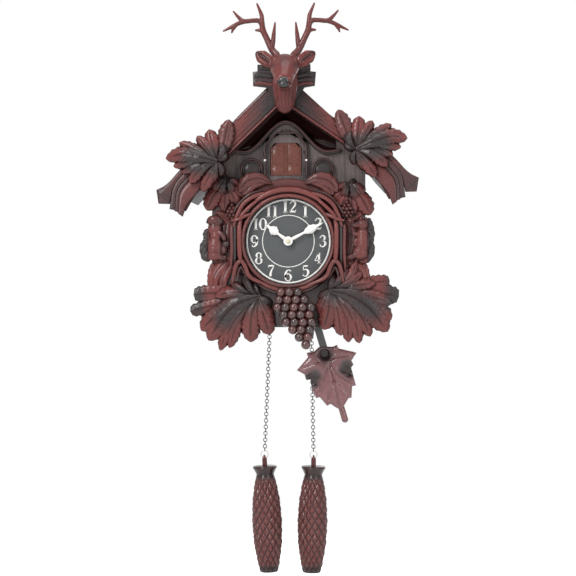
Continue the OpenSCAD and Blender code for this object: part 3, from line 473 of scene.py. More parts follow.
def vine_leaf(outline, hub, back, thick, grooves, hollows, rim=0.35, count=560, rows=40):
    """Flat carved leaf with straight-cut points, as a polar grid from its hub to its outline.
    Its front is a low dome cut by V-shaped grooves along curves, rows of (course, width, depth), darkened with
    staining and painted shade, and by round hollows, rows of (x, z, radius, depth), smoked and darkened with
    painted shade."""
    theta = np.linspace(-np.pi, np.pi, count, endpoint=False)
    dense = divided([*outline, outline[0]], 30)
    polar = np.arctan2(dense[:, 1], dense[:, 0])
    order = np.argsort(polar)
    reach = np.interp(theta, polar[order], np.hypot(*dense[order].T), period=2 * np.pi)
    share = np.concatenate([np.linspace(0.02, 0.93, rows), [0.955, 0.975, 0.99, 1]])[:, None]
    x, z = share * reach * np.cos(theta), share * reach * np.sin(theta)
    height = thick * (1 - 0.25 * share ** 2) * np.ones_like(x)
    cut, smoke = np.zeros_like(x), np.zeros_like(x)
    for course, width, depth in grooves:
        near = near_line(spline(course, 40), -width, width)(x, z)
        height -= 1.35 * depth * near
        # Staining and painted shade in the V-grooves.
        cut = np.maximum(cut, 0.9 * near ** 2.5)
    for hx, hz, size, depth in hollows:
        pit = bell(np.hypot(x - hx, z - hz), size)
        height -= depth * pit
        # Painted shade: the hollows are smoked and darkened.
        smoke = np.maximum(smoke, 1.5 * pit)
        cut = np.maximum(cut, 0.6 * pit ** 1.5)
    roll = np.sqrt(np.clip(1 - share ** 30, 0, 1))
    low = rim * thick
    height = low + (np.maximum(height, low) - low) * roll
    rings = points(hub[0] + x, back - height, hub[1] + z)
    rings = np.concatenate([rings, rings[-1:]])
    rings[-1, :, 1] = back
    # Painted shade along the leaf's edge and on its back wall.
    cut = np.vstack([np.maximum(cut, 0.5 * smooth(0.985, 1, share)), cut[-1:] * 0 + 0.7])
    smoke = np.vstack([smoke, smoke[-1:]])
    return skin(rings, smoke, cut, points(hub[0], (rings[0, :, 1].mean(), back), hub[1]))


# ---- node groups and finishes

def new_group(name, inputs, outputs):
    """Empty shader node group with the given sockets: rows of (name, kind)."""
    group = bpy.data.node_groups.new(name, "ShaderNodeTree")
    for direction, rows in (("INPUT", inputs), ("OUTPUT", outputs)):
        for label, kind in rows:
            group.interface.new_socket(name=label, in_out=direction,
                                       socket_type="NodeSocket" + kind)
    return group, group.nodes.new("NodeGroupInput"), group.nodes.new("NodeGroupOutput")


def put(tree, value, socket):
    """Links a socket to an input, or sets the input to a number, a vector or a colour."""
    if isinstance(value, bpy.types.NodeSocket):
        tree.links.new(value, socket)
    else:
        socket.default_value = (*value[:3], 1.0) if socket.type == "RGBA" else value


def add(tree, kind, settings=None, **sockets):
    """Adds a node, sets its properties, then links or sets its input sockets by name.
    A double underscore in a socket's name stands for its number, such as __1."""
    node = tree.nodes.new(kind)
    for key, value in (settings or {}).items():
        setattr(node, key, value)
    for key, value in sockets.items():
        put(tree, value, node.inputs[int(key[2:]) if key.startswith("__") else key])
    return node


def blend_colour(tree, share, first, second, how="MIX"):
    """Colour mix; share, first and second are numbers, colours or sockets."""
    return add(tree, "ShaderNodeMix", {"data_type": "RGBA", "blend_type": how},
               __0=share, __6=first, __7=second).outputs[2]


def sums(tree, how, first, second, clamp=False):
    """One arithmetic node on two numbers or sockets."""
    return add(tree, "ShaderNodeMath", {"operation": how, "use_clamp": clamp},
               __0=first, __1=second).outputs[0]


def fitted(tree, value, low, high, to_low=0.0, to_high=1.0):
    """A value stretched from one range to another and clamped."""
    return add(tree, "ShaderNodeMapRange", {"interpolation_type": "SMOOTHSTEP"}, Value=value,
               **{"From Min": low, "From Max": high, "To Min": to_low,
                  "To Max": to_high}).outputs["Result"]


def noise(tree, place, scale, detail, roughness=0.5, distortion=0.0):
    """Noise value at a place."""
    return add(tree, "ShaderNodeTexNoise", Vector=place, Scale=scale, Detail=detail,
               Roughness=roughness, Distortion=distortion).outputs[0]


def airbrush_group():
    """Two-tone lacquer: red wood colour fading to smoke by a mask with a soft mottle, and a dark colour laid in by
    a second mask, which is real staining in the grooves and painted shade in creases, hollows and undercuts. Puts
    out the colour and a roughness mask."""
    tree, start, stop = new_group(
        "Airbrushed lacquer",
        [("Vector", "Vector"), ("Smoke", "Float"), ("Groove", "Float"), ("Red", "Color"),
         ("Smoke colour", "Color"), ("Stain", "Color")],
        [("Color", "Color"), ("Rough", "Float")])
    place, smoke, groove, red, grey, stain = start.outputs[:6]
    fine = noise(tree, place, 420.0, 3.0, 0.65)
    mottle = sums(tree, "SUBTRACT", noise(tree, place, 55.0, 3.0, 0.6), 0.5)
    mask = sums(tree, "ADD", smoke, sums(tree, "MULTIPLY", mottle, 0.55), clamp=True)
    colour = blend_colour(tree, mask, red, grey)
    grain = fitted(tree, fine, 0.3, 0.7, 0.86, 1.12)
    shade_of = add(tree, "ShaderNodeCombineColor", Red=grain, Green=grain, Blue=grain)
    colour = blend_colour(tree, 1.0, colour, shade_of.outputs[0], "MULTIPLY")
    # Staining and painted shade: the dark colour is mixed in by the second mask.
    put(tree, blend_colour(tree, groove, colour, stain), stop.inputs["Color"])
    rough = sums(tree, "ADD", fitted(tree, fine, 0.35, 0.65, 0.30, 0.44),
                 sums(tree, "MULTIPLY", groove, 0.25))
    put(tree, rough, stop.inputs["Rough"])
    return tree


def grain_group():
    """Wood grain along the vector's x: long streaks of stretched noise with finer pores.
    Puts out the streak mask and a height."""
    tree, start, stop = new_group("Wood grain", [("Vector", "Vector")],
                                  [("Streak", "Float"), ("Height", "Float")])
    broad, narrow = (add(tree, "ShaderNodeMapping", Vector=start.outputs[0],
                         Scale=(along, across, across)).outputs[0]
                     for along, across in ((9.0, 120.0), (26.0, 620.0)))
    total = sums(tree, "ADD", sums(tree, "MULTIPLY", noise(tree, broad, 1.0, 4.0, 0.62, 0.5), 0.7),
                 sums(tree, "MULTIPLY", noise(tree, narrow, 1.0, 2.0), 0.3))
    put(tree, fitted(tree, total, 0.38, 0.62), stop.inputs["Streak"])
    put(tree, total, stop.inputs["Height"])
    return tree


def shared(name, build):
    """A node group that is built once."""
    return bpy.data.node_groups.get(name) or build()


def linear(code):
    """Linear colour of a six-digit screen colour."""
    parts = [int(code[i:i + 2], 16) / 255 for i in (0, 2, 4)]
    return tuple(c / 12.92 if c <= 0.04045 else ((c + 0.055) / 1.055) ** 2.4 for c in parts)


def started(name):
    """A new material with its tree and its shader."""
    material = bpy.data.materials.new(name)
    material.use_nodes = True
    return material, material.node_tree, material.node_tree.nodes["Principled BSDF"]


def local_place(tree):
    """The place on the object, in metres."""
    return tree.nodes.new("ShaderNodeTexCoord").outputs["Object"]


def surface(tree, shader, colour, rough, height=None, bump=0.0, reach=0.0, **more):
    """Feeds the shader its colour, its roughness, a bump from a height that reaches over the
    given metres, and other inputs by name with underscores for blanks."""
    if height is not None:
        more["Normal"] = add(tree, "ShaderNodeBump", Strength=bump, Distance=reach,
                             Height=height).outputs[0]
    for key, value in {"Base_Color": colour, "Roughness": rough, **more}.items():
        put(tree, value, shader.inputs[key.replace("_", " ")])


def carved_finish(name, red, smoke, stain, coat=0.35, bump=0.2, coat_rough=0.13, rim=0.0,
                  shine=1.5):
    """Carved moulding: airbrushed lacquer coloured by the mesh's smoke value and darkened by its value of staining
    and painted shade. Rim is the share of smoke colour painted in as shade where the surface turns away from the
    view."""
    material, tree, shader = started(name)
    place = local_place(tree)
    masks = [add(tree, "ShaderNodeAttribute", {"attribute_name": key}).outputs["Fac"]
             for key in ("smoke", "groove")]
    brush = add(tree, "ShaderNodeGroup",
                {"node_tree": shared("Airbrushed lacquer", airbrush_group)},
                Vector=place, Smoke=masks[0], Groove=masks[1], Red=red, Stain=stain,
                **{"Smoke colour": smoke})
    colour = brush.outputs["Color"]
    # Painted shade: the smoke colour comes in where the surface turns away from the view.
    if rim:
        edge = add(tree, "ShaderNodeLayerWeight", Blend=0.35).outputs["Facing"]
        colour = blend_colour(tree, fitted(tree, edge, 0.1, 0.75, 0.0, rim), colour, smoke)
    surface(tree, shader, colour, brush.outputs["Rough"], noise(tree, place, 650.0, 4.0), bump,
            0.0006, Specular_IOR_Level=0.06, Coat_Weight=coat, Coat_Roughness=coat_rough,
            Coat_IOR=shine)
    return material


def board_finish(name, light, dark, coat=0.1):
    """Grained board: two tones of lacquer along an upright grain, clouded by slow noise."""
    material, tree, shader = started(name)
    place = local_place(tree)
    turned = add(tree, "ShaderNodeMapping", Vector=place, Rotation=(0.0, math.radians(90), 0.0))
    grain = add(tree, "ShaderNodeGroup", {"node_tree": shared("Wood grain", grain_group)},
                Vector=turned.outputs[0])
    streak, height = grain.outputs[:2]
    cloud = fitted(tree, noise(tree, place, 18.0, 2.0), 0.35, 0.65, -0.1, 0.5)
    mask = sums(tree, "ADD", sums(tree, "MULTIPLY", streak, 0.55), cloud, clamp=True)
    surface(tree, shader, blend_colour(tree, mask, light, dark),
            fitted(tree, height, 0.35, 0.65, 0.36, 0.5), height, 0.35, 0.0007,
            Specular_IOR_Level=0.08, Coat_Weight=coat, Coat_Roughness=0.2)
    return material


def plain_finish(name, colour, rough=0.4, metal=0.0, vary=0.12, coat=0.0, bump=0.12):
    """Moulded, painted or metal surface: one tone with a fine mottle in colour and gloss."""
    material, tree, shader = started(name)
    mottle = noise(tree, local_place(tree), 300.0, 4.0, 0.6)
    darker, lighter = ([min(1.0, c * share) for c in colour] for share in (1 - vary, 1 + vary))
    surface(tree, shader, blend_colour(tree, fitted(tree, mottle, 0.3, 0.7), darker, lighter),
            fitted(tree, mottle, 0.3, 0.7, rough - 0.06, rough + 0.06), mottle, bump, 0.0004,
            Metallic=metal, Coat_Weight=coat, Coat_Roughness=0.15)
    return material


def chain_finish(name, black, brown, wire):
    """Blackened chain wire. The ring at a chain's foot, below a fixed height, is pale wire."""
    material, tree, shader = started(name)
    place = local_place(tree)
    up = add(tree, "ShaderNodeSeparateXYZ", Vector=place).outputs[2]
    foot = corners("chain_left")[0][2] + 9.6
    pale = fitted(tree, up, (foot + 0.1) * MM, (foot - 0.1) * MM)
    speck = noise(tree, place, 900.0, 3.0)
    dark = blend_colour(tree, fitted(tree, speck, 0.3, 0.7), black, brown)
    surface(tree, shader, blend_colour(tree, pale, dark, wire),
            fitted(tree, speck, 0.3, 0.7, 0.34, 0.46), Metallic=sums(tree, "MULTIPLY", pale, 0.8))
    return material


def dial_finish(name, colour, paler_middle):
    """Printed dial: matt charcoal, a little paler towards its middle, with fine specks."""
    material, tree, shader = started(name)
    place = local_place(tree)
    centred = add(tree, "ShaderNodeMapping", Vector=place,
                  Location=(-DIAL_X * MM, -DIAL_Y * MM, -DIAL_Z * MM))
    span = add(tree, "ShaderNodeVectorMath", {"operation": "LENGTH"}, __0=centred.outputs[0])
    speck = noise(tree, place, 900.0, 3.0)
    amount = sums(tree, "MULTIPLY", fitted(tree, span.outputs["Value"], 0.0, DIAL_R * MM, 1.0, 0.2),
                  fitted(tree, speck, 0.25, 0.75, 0.3, 1.0))
    surface(tree, shader, blend_colour(tree, amount, colour, paler_middle),
            fitted(tree, speck, 0.3, 0.7, 0.55, 0.7), speck, 0.15, 0.0003)
    return material


# ---- settings

def tint(label, note, code):
    """A colour setting with its default given as a screen colour."""
    return bpy.props.FloatVectorProperty(name=label, description=note, subtype="COLOR", size=3,
                                         min=0.0, max=1.0, default=linear(code))


class ClockFinish(bpy.types.PropertyGroup):
    """Colours of the lacquered carving, the dial and the fittings."""

    mahogany: tint("Mahogany", "Red of the carved leaves and boards", "764240")
    bright: tint("Bright mahogany", "Red of the tips, rims and doors", "7d4340")
    smoke: tint("Smoke", "Grey-black that is sprayed over the middles", "423c3d")
    # This dark colour is real staining in the grooves and also painted shade in creases, hollows and undercuts.
    stain: tint("Stain", "Dark stain left in the grooves", "220a09")
    board: tint("Board", "Grey-brown of the front board", "7a6e6d")
    grape: tint("Grape", "Nearly black fruit", "2f1d1d")
    dial: tint("Dial", "Charcoal of the dial plate", "45484a")
    white: tint("White", "Numerals, rings and hands", "fbfaf7")


class ClockCarving(bpy.types.PropertyGroup):
    """Depths of the carved relief."""

    scale_rise: bpy.props.FloatProperty(name="Cone scale rise", default=2.5, min=0.0, max=3.0,
                                        description="How far a cone's scales stand out, mm")


# Finishes: maker, material name, colours and options.
FINISH_ROWS = {
    "carved": (carved_finish, "Carved mahogany", "mahogany smoke stain", {}),
    "bright": (carved_finish, "Bright mahogany", "bright smoke stain", {"coat": 0.45}),
    # Rim, in the cone and grape finishes, paints shade in the smoke colour where the surface turns away.
    "cone": (carved_finish, "Cone mahogany", "6d3835 292323 1c0808", {"coat": 0.6, "rim": 0.5}),
    "stag": (carved_finish, "Glossy mahogany", "6e3532 smoke stain",
             {"coat": 0.4, "bump": 0.15, "coat_rough": 0.14}),
    "grape": (carved_finish, "Black grapes", "5c2a26 grape stain",
              {"coat": 1.0, "bump": 0.03, "coat_rough": 0.1, "rim": 0.9, "shine": 1.6}),
    "door": (carved_finish, "Door brown", "74463d smoke stain", {}),
    "feathers": (carved_finish, "Bird paint", "9a6a45 4a3226 2a1a12", {}),
    "pendulum": (carved_finish, "Pale mahogany", "84575a 3a3232 stain",
                 {"coat": 0.7, "shine": 1.6}),
    "front": (board_finish, "Front board", "board smoke", {"coat": 0.25}),
    "boards": (board_finish, "Smoked boards", "board smoke", {}),
    "dark_boards": (board_finish, "Dark boards", "4a3532 33292a", {}),
    "dial": (dial_finish, "Charcoal dial", "dial 55585a", {}),
    "chain": (chain_finish, "Antique chain", "0e0d0d 1c1a19 c4c2be", {}),
    "white": (plain_finish, "White enamel", "white", {"vary": 0.02, "bump": 0.03}),
    "cap": (plain_finish, "Cream cap", "e6dcc0", {"vary": 0.05}),
    "steel": (plain_finish, "Bright wire", "c9c6bf", {"rough": 0.25, "metal": 1.0}),
    "ebony": (plain_finish, "Black moulding", "252323", {"rough": 0.45}),
    "rod": (plain_finish, "Blackened rod", "5e5c5d", {"rough": 0.35, "coat": 0.4}),
    "nose": (plain_finish, "Black gloss", "121112", {"coat": 0.3}),
    "acetal": (plain_finish, "Natural gear plastic", "e4e2da", {"rough": 0.45, "vary": 0.04}),
    "foil": (plain_finish, "Cell foil", "b08a3a", {"rough": 0.35, "metal": 0.6}),
    "board_green": (plain_finish, "Solder mask", "1d5a36", {"rough": 0.3, "coat": 0.4}),
    "red_knob": (plain_finish, "Red slider", "a52a24", {})}
FINISHES = {}


def finish_of(key):
    """The named finish, made once. Its colours are settings or six-digit screen colours."""
    if key not in FINISHES:
        maker, name, colours, options = FINISH_ROWS[key]
        tones = bpy.context.scene.clock_finish
        FINISHES[key] = maker(name, *(getattr(tones, colour) if hasattr(tones, colour)
                                      else linear(colour) for colour in colours.split()),
                              **options)
    return FINISHES[key]


def dress(key, *nodes):
    """Gives frame nodes that stay visible their finish."""
    for node in nodes:
        obj = frame["nodes"][node]
        if not obj.material_slots:
            obj.data.materials.append(None)
        for slot in obj.material_slots:
            slot.material = finish_of(key)


# ---- roof

PITCH = {-1: math.radians(44), 1: math.radians(34.5)}
EAVE_X = CASE_HALF - 6


def under_roof(x):
    """Height of the roof's underside at a place across the clock."""
    slope = np.where(x < RIDGE_X, math.tan(PITCH[-1]), math.tan(PITCH[1]))
    return RIDGE_Z - np.abs(x - RIDGE_X) * slope


def eave(s):
    """Eave point under the roof on side s, -1 left and 1 right."""
    return np.array([s * EAVE_X, under_roof(s * EAVE_X)])


def tail(s, across, up):
    """A point of the carved tail, measured outwards and up from the eave."""
    return eave(s) + np.array([s * across, up])


ROOF_PETALS = [
    ([(-2, 2), (-8, 26), (-13, 50)], 10, (0.4, 0.5, 0.45, 0.35), {"smoke": 0.35}),
    ([(0, 2), (6, 20), (10.5, 38.5)], 9.5, (0.5, 0.75, 0.6, 0.4)),
    ([(3, 2), (14, 17), (25, 30.5)], 7.6, (0.6, 0.85, 0.65, 0.4), {"lean": 0.15}),
    ([(6, 3), (27, 13), (46, 23)], 7.8, (0.6, 0.85, 0.65, 0.4), {"lean": 0.15}),
    ([(20, 3), (38, -1), (53, -5)], 6.2, (0.5, 0.75, 0.55, 0.35), {"lean": -0.15}),
    ([(10, 1), (28, -5), (42.5, -12.5)], 6.8, (0.5, 0.7, 0.6, 0.35), {"lean": -0.15}),
    ([(0, 0), (25, 6), (43, 8.5), (62, 4)], 10.5, (0.75, 1, 0.85, 0.4), {"rib": 1.2, "veins": 0.5}),
    ([(4, -1), (20, -9), (34, -25)], 8.2, (0.7, 0.95, 0.75, 0.35), {"lean": -0.1}),
    ([(1, -2), (9, -16), (19, -35)], 8, (0.7, 0.95, 0.75, 0.35), {"lean": -0.1}),
    ([(0, -2), (3, -12), (7.5, -26)], 5.8, (0.7, 1, 0.8, 0.35)),
    ([(-1, -1), (-4, -8), (-3, -17)], 5.2, (0.7, 0.95, 0.8, 0.4)),
    ([(-1, 1), (-6, 12), (-2.5, 22)], 5.6, (0.7, 1, 0.85, 0.5), {"smoke": 0.5}),
    ([(-2, 0), (-8, 5), (-9, 13)], 4.6, (0.7, 1, 0.8, 0.5), {"smoke": 0.3})]


def strip(lower, upper, back, front, count=90, crown=1.2, smoke=0.0, edge=1.0, smoke_to=None):
    """Plank between two edge curves in the x-z plane. Its section is flat at the back and at the
    front a low arch, crown high in the middle, that falls to grooves along both edges."""
    low, high = spline(lower, count)[:, None], spline(upper, count)[:, None]
    arch = np.array([0, 0.35, 0.62, 0.8, 0.95, 1, 0.95, 0.8, 0.62, 0.35, 0])
    across = np.array([0, 0.02, 0.06, 0.13, 0.3, 0.5, 0.7, 0.87, 0.94, 0.98, 1, 0.98, 0.02])
    depth = np.concatenate([front + (1 - arch) * (crown + edge), [back, back]])
    flat = low + (high - low) * across[:, None]
    # Staining and painted shade in the grooves along both edges, and painted shade on the back walls.
    groove = 0.9 * np.concatenate([1 - smooth(0.3, 0.9, arch), [1, 1]])
    along = np.linspace(0, 1, count)[:, None]
    tone = smoke if smoke_to is None else smoke + (smoke_to - smoke) * along
    return skin(points(flat[..., 0], depth, flat[..., 1]), tone, groove)


PLANKS = [
    ([(0, 2), (26, -33), (40, -50), (46, -64)], [(6, 14), (35, -18), (49, -36), (51.5, -60)],
     0, -0.1, 0.6),
    ([(5, 14), (34.6, -18), (48.6, -36), (51, -59)],
     [(8, 18), (38, -15), (52.5, -33), (55.5, -57.5)], 0.9, 0.8, 0.8),
    ([(7, 18), (37.6, -15), (52, -33), (55, -56.5)],
     [(8, 22), (42, -10), (56.5, -28), (61.5, -55)], 0.3, 0.5, 0.9),
    ([(8, 22), (41.5, -10), (56, -28), (61, -49)], [(9, 27), (46, -6), (63, -24), (76.5, -33)],
     0, 0.35, 0.85)]
PEAK_RISE = 36
ELBOW_X = 54
LIP = np.array([0, 3.6])


def bargeboard(s):
    """Sloping board with fine streaks and a red soffit strip, and a tail of planks that curl
    down over a backing board, ending in steps. Rows of planks are the two edges on the tail,
    how far the plank lies back, and its smoke at both ends."""
    def on_tail(*spots):
        return [tail(s, *spot) for spot in spots]

    ridge, foot = np.array([RIDGE_X, RIDGE_Z]), eave(s)
    peak = ridge + (0, PEAK_RISE)
    elbow = peak + (s * ELBOW_X, -ELBOW_X * math.tan(math.radians(44.5 if s < 0 else 42.5)))
    soffit = np.array([ridge, (ridge + foot) / 2, foot])
    skins = [strip(soffit + 0.8 * LIP, [peak, (peak + elbow) / 2, elbow], ROOF_Y, BARGE_Y + 1.2,
                   70, 0.6, 1.5, smoke_to=-0.35),
             strip(soffit, soffit + LIP, ROOF_Y, BARGE_Y, 70, 1.2, -0.1),
             strip([foot * 0.75 + elbow * 0.25, *on_tail((26, -31), (42, -58))],
                   [elbow, *on_tail((40, -8), (72, -33))], ROOF_Y, BARGE_Y + 3.0, 40, 0.4, 0.3)]
    skins += [strip(on_tail(*lower), on_tail(*upper), ROOF_Y, BARGE_Y + 0.6 + step, 60, 1.0, tone,
                    smoke_to=tone_to) for lower, upper, step, tone, tone_to in PLANKS]
    skins.append(strip(on_tail((61, -25), (61.5, -49)), on_tail((77, -32.5), (74.5, -48.6)),
                       ROOF_Y, BARGE_Y + 0.9, 20, 0.6, 0.8))
    rng = np.random.default_rng(5 + s)
    for k, share in enumerate(np.linspace(0.25, 0.85, 4)):
        start, stop = 0.02 + 0.25 * rng.random(), 0.72 + 0.26 * rng.random()
        first = (ridge + LIP) * (1 - share) + peak * share
        last = (foot + LIP) * (1 - share) + elbow * share
        x, z = (first + (last - first) * np.array([[start], [(start + stop) / 2], [stop]])).T
        path = spline(points(x, BARGE_Y + 1.15, z), 40)
        wide = 0.2 + 0.2 * rng.random()
        skins.append(tube(path, wide, 8, smoke=0.9 - 0.35 * (k % 2), groove=0.3 * (k % 3 == 0)))
    return skins


def roof_leaf(s):
    """Vine leaf over the end of the bargeboard."""
    hub = tail(s, 3, 0)
    low, high = corners(of_side("roof_leaf", s))
    turn = 0 if s < 0 else 9
    ahead = np.array([s * math.cos(math.radians(turn + 5)), math.sin(math.radians(turn + 5))])
    tone = near_line([hub - 3 * ahead, hub + 26 * ahead], 9, 26)
    return spray(ROOF_PETALS, hub, s, high[1], high[1] - low[1], tone, turn)


def ridge_bracket():
    """Scrolled bracket behind the stag's neck: a block with level reeds at both ends."""
    low, high = corners("ridge_bracket")
    middle = np.array([RIDGE_X + 2, RIDGE_Z])
    outline = [(-37, 35), (-36.5, 18.5), (-20, 16.5), (-12, -1), (0, -11), (12, -1), (24, 16.5),
               (36, 18.5), (37.5, 34.6), (31, 35.4), (31, 43.6), (-31.5, 43.6), (-31.5, 35.8)]
    skins = [slab(middle + outline, high[1], low[1] + 2.2, 1.0, smoke=1.0, groove=0.35)]
    for s in (-1, 1):
        for lift, reach, size, tone in ((20.6, 34.5, 2.0, 0.2), (25.2, 35, 2.4, 0.9),
                                        (30.8, 35.3, 3.0, 1.0), (39.2, 29.5, 3.4, 1.0)):
            path = [(s * reach, 0, 0), (s * reach * 0.75, 0, 0.9), (s * 12, 0, -1.2)]
            path = spline(np.array(path) + (middle[0], low[1] + 2.6, middle[1] + lift), 30)
            skins.append(tube(path, size, 14, flat=0.8, smoke=tone))
    return skins


# ---- stag

STAG = np.array([-0.8, BRACKET_Y, RIDGE_Z + PEAK_RISE])
STAG_RIGHT = (1.0, 0.0, 0.0)


def loft(path, wide, deep, count=40, side_first=STAG_RIGHT):
    """Body of elliptical sections along a curve, measured from the stag's crown: half width
    and half depth follow curves too."""
    wide, deep = spread(wide, count), spread(deep, count)
    path = spline(STAG + np.array(path), count)
    return tube(path, deep, 28, flat=wide / deep, side_first=side_first)


def stag_head():
    """Stag's head and neck, fused from lofted bodies and relaxed. Fine grooves run down the
    neck as a sine of the angle around it."""
    skins = [
        loft([(0, -6, 2), (0, -16, 4), (0, -26, -3), (0, -35, -12), (0, -42, -18.5),
              (0, -46.5, -21)], (12.5, 17.4, 16.4, 12.4, 10.4, 7.5), (11, 14, 12.5, 10, 8.8, 6.8)),
        loft([(0, -4, 2), (-0.4, -8, -16), (-0.6, -7.5, -30), (-1, -5, -42), (-1.6, -2, -51)],
             (13, 15.2, 13.2, 11, 4.5), (12, 11, 8.5, 6.5, 3)),
        loft([(0, -12, -12), (0, -26, -19), (0, -38, -25)], (10, 9, 5), (8, 7, 4))]
    for s in (-1, 1):
        skins += [
            loft([(s * 11, -10, 3), (s * 19, -10.5, 9), (s * 28, -9.5, 15.5), (s * 35, -8, 20.6)],
                 (2.6, 3.0, 2.6, 1.2), (4, 8.0, 8.2, 2.8), side_first=(0, 1, 0)),
            ball(STAG + (s * 11.8, -22, 3.6), (3.6, 5.0, 2.4)),
            ball(STAG + (s * 5.6, -45, -17), (3.4, 3.2, 3.2)),
            loft([(s * 8.5, -14, 11), (s * 10, -12, 17)], (4.2, 4.4), (4.2, 4.4), 10)]

    def lay(place):
        """Sideways distance, depth, height, waves of the strands and height over the ear."""
        x, y, z = (place - STAG).T
        side = np.abs(x)
        strands = np.cos(22 * np.arctan2(x, -y) + 0.7 * np.sin(z * 0.5))
        return side, y, z, strands, z - (3 + 0.78 * (side - 11))

    def push(place, normal):
        side, y, z, strands, over_ear = lay(place)
        hair = smooth(-14, -22, z) * (1 - smooth(-47, -51, z)) * smooth(-24, -12, y)
        along = (side - 14) / 20
        cup = bell(over_ear, 3.2) * smooth(0.1, 0.3, along) * (1 - smooth(0.75, 0.95, along))
        socket = bell(np.hypot(side - 12.6, z - 1.2), 3.0) * bell(y + 27, 6)
        return 0.16 * hair * strands - 1.3 * cup * (normal[:, 1] < -0.2) - 0.9 * socket

    def shading(place, normal):
        side, y, z, strands, over_ear = lay(place)
        # Painted shade in the ear cups, under the brows, in the fold under the jaw and close to the bracket behind
        # the head.
        cup = bell(over_ear, 3.4) * smooth(17, 21, side) * (normal[:, 1] < -0.1)
        brow = bell(np.hypot(side - 12.8, z - 1.6), 3.8) * bell(y + 27, 8)
        fold = bell(z + 30 + 0.5 * side, 2.2) * smooth(4, 9, side) * smooth(-34, -28, y)
        hair = smooth(-14, -22, z) * (0.5 + 0.5 * strands)
        smoke = 0.45 * bell(side, 9) * smooth(-4, 8, z) + 0.9 * smooth(-8, -1, y) + 0.25 * cup
        return smoke, 0.85 * cup + 0.9 * brow + 0.3 * fold + 0.55 * smooth(-6, 0, y) + 0.4 * hair

    return melted("stag_head", skins, 0.75, 5, shading, push)


# Beam and tines of an antler: points of (x, y, z, radius), measured from the stag's crown.
TINES = [
    [(9.5, -8, 12, 4), (10.2, -7, 17, 3.5), (15.5, -5, 23.5, 3.3), (22, -4, 37, 2.9),
     (26.5, -4, 47, 2.9), (27.7, -4, 57, 2.4), (28.4, -3, 65, 2), (34, -3, 79, 0.8)],
    [(16.5, -5, 25, 2.9), (14.6, -6, 33, 2.3), (13.6, -6.5, 42, 1.9), (12, -7, 56, 0.7)],
    [(25.5, -4, 43, 2.3), (29, -4, 46.5, 2), (36, -4, 46.8, 0.8)],
    [(26.5, -4, 51, 2.4), (31, -4, 57.5, 2.3), (38, -4, 58.2, 2.1), (49, -4, 57.5, 2.2),
     (55, -3.5, 62, 1.7), (62, -3, 70, 0.7)],
    [(45, -4, 57.8, 2.1), (54, -4, 55.5, 2), (62, -4, 51.5, 1.9), (74, -3, 46, 0.7)],
    [(58, -4, 53.5, 1.9), (61.5, -4, 48.5, 1.5), (63.5, -4, 43.5, 0.6)]]


def antler(s):
    """Beam and tines: tapering tubes along curves, with a knobbed burr at the foot."""
    thickness = 1.28
    skins = []
    for rows in TINES:
        x, y, z, radius = np.array(rows).T
        count = 14 * len(rows)
        skins.append(tube(spline(STAG + points(s * x, y, z), count),
                          thickness * spread(radius, count), 14,
                          smoke=0.35 * np.linspace(1, 0, count)[:, None],
                          bumps=lambda t, a: 0.12 * np.cos(5 * a + 9 * t) * (1 - t)))
    burr = spline([STAG + (s * 9.7, -8, 13), STAG + (s * 10.1, -7.5, 16.5)], 12)
    return skins + [tube(burr, 5.0, 22, smoke=0.7, groove=0.45,
                         bumps=lambda t, a: 0.35 * np.cos(9 * a) * np.ones_like(t))]


def stag_face():
    """Eyes as glossy ellipsoids under the brows, and a nose pad with two nostrils."""
    eyes, nostrils = ([ball(STAG + (s * x, y, z), size) for s in (-1, 1)] for x, y, z, size in (
        (12.5, -26.4, 1.2, (2.1, 2.2, 1.8)), (4.8, -46.4, -18.4, (2.2, 2.4, 1.7))))
    nose = [ball(STAG + (0, -43.6, -16.9), (8.4, 5.0, 4.8), 16, 28),
            ball(STAG + (0, -44.2, -21.5), (6.0, 4.4, 4.4), 14, 24)]
    return eyes, nose + nostrils


# ---- gable front

def ogee(x, half):
    """Cosine bell of the moulding, 36 high over the doorway and 0 beyond its half width."""
    return np.where(np.abs(x) < half, 18 * (1 + np.cos(np.pi * x / half)), 0)


def gable_moulding():
    """Rounded ogee: a cosine bell over the doorway carried by an oval section."""
    low, high = corners("gable_moulding")
    half = (high[0] - low[0]) / 2
    x = np.linspace(-half - 7, half + 11, 110)
    inner = 50 / 56 * half
    z = ogee(x, inner) + 0.01 * np.maximum(np.abs(x) - inner, 0) ** 2
    path = points(DOOR_X + x, low[1] + 4.2, low[2] + 2.6 + z)
    return [tube(path, 1.5, 20, flat=1.8, smoke=0.7, side_first=FRONT),
            tube(path + (0, 3.4, -1.6), 2.2, 16, flat=1.3, smoke=1.0, groove=0.15,
                 side_first=FRONT)]


def gable_recess():
    """Sheet of painted shade between the moulding and the roof, all in the dark colour: a thin slab on the front
    board.
    """
    low, high = corners("gable_moulding")
    half = (high[0] - low[0]) / 2
    x = np.linspace(-half - 6, half + 4, 70)
    lower = np.stack([DOOR_X + x, low[2] + 3 + ogee(x, 50)], -1)
    x, z = lower[::-1].T
    upper = np.stack([x, np.maximum(under_roof(x) + 2.5, z + 0.3)], -1)
    return [slab(np.vstack([lower, upper]), BOARD_Y + 0.5, BOARD_Y - 0.9, 0.3, groove=1.0)]


def gable_panel():
    """Plain panel that fills the gable between the doorway's frame and the moulding."""
    x = np.linspace(-20, 20, 24)
    upper = np.stack([DOOR_X + x, corners("gable_moulding")[0][2] + 1.6 + ogee(x, 50)], -1)
    base = corners("doorway_frame")[1][2] - 2.4
    lower = [(DOOR_X + side, base + drop) for side, drop in ((20, -8), (12, 0), (-12, 0), (-20, -8))]
    return [slab(np.vstack([upper, lower]), BOARD_Y + 0.5, BOARD_Y - 1.1, 0.3)]


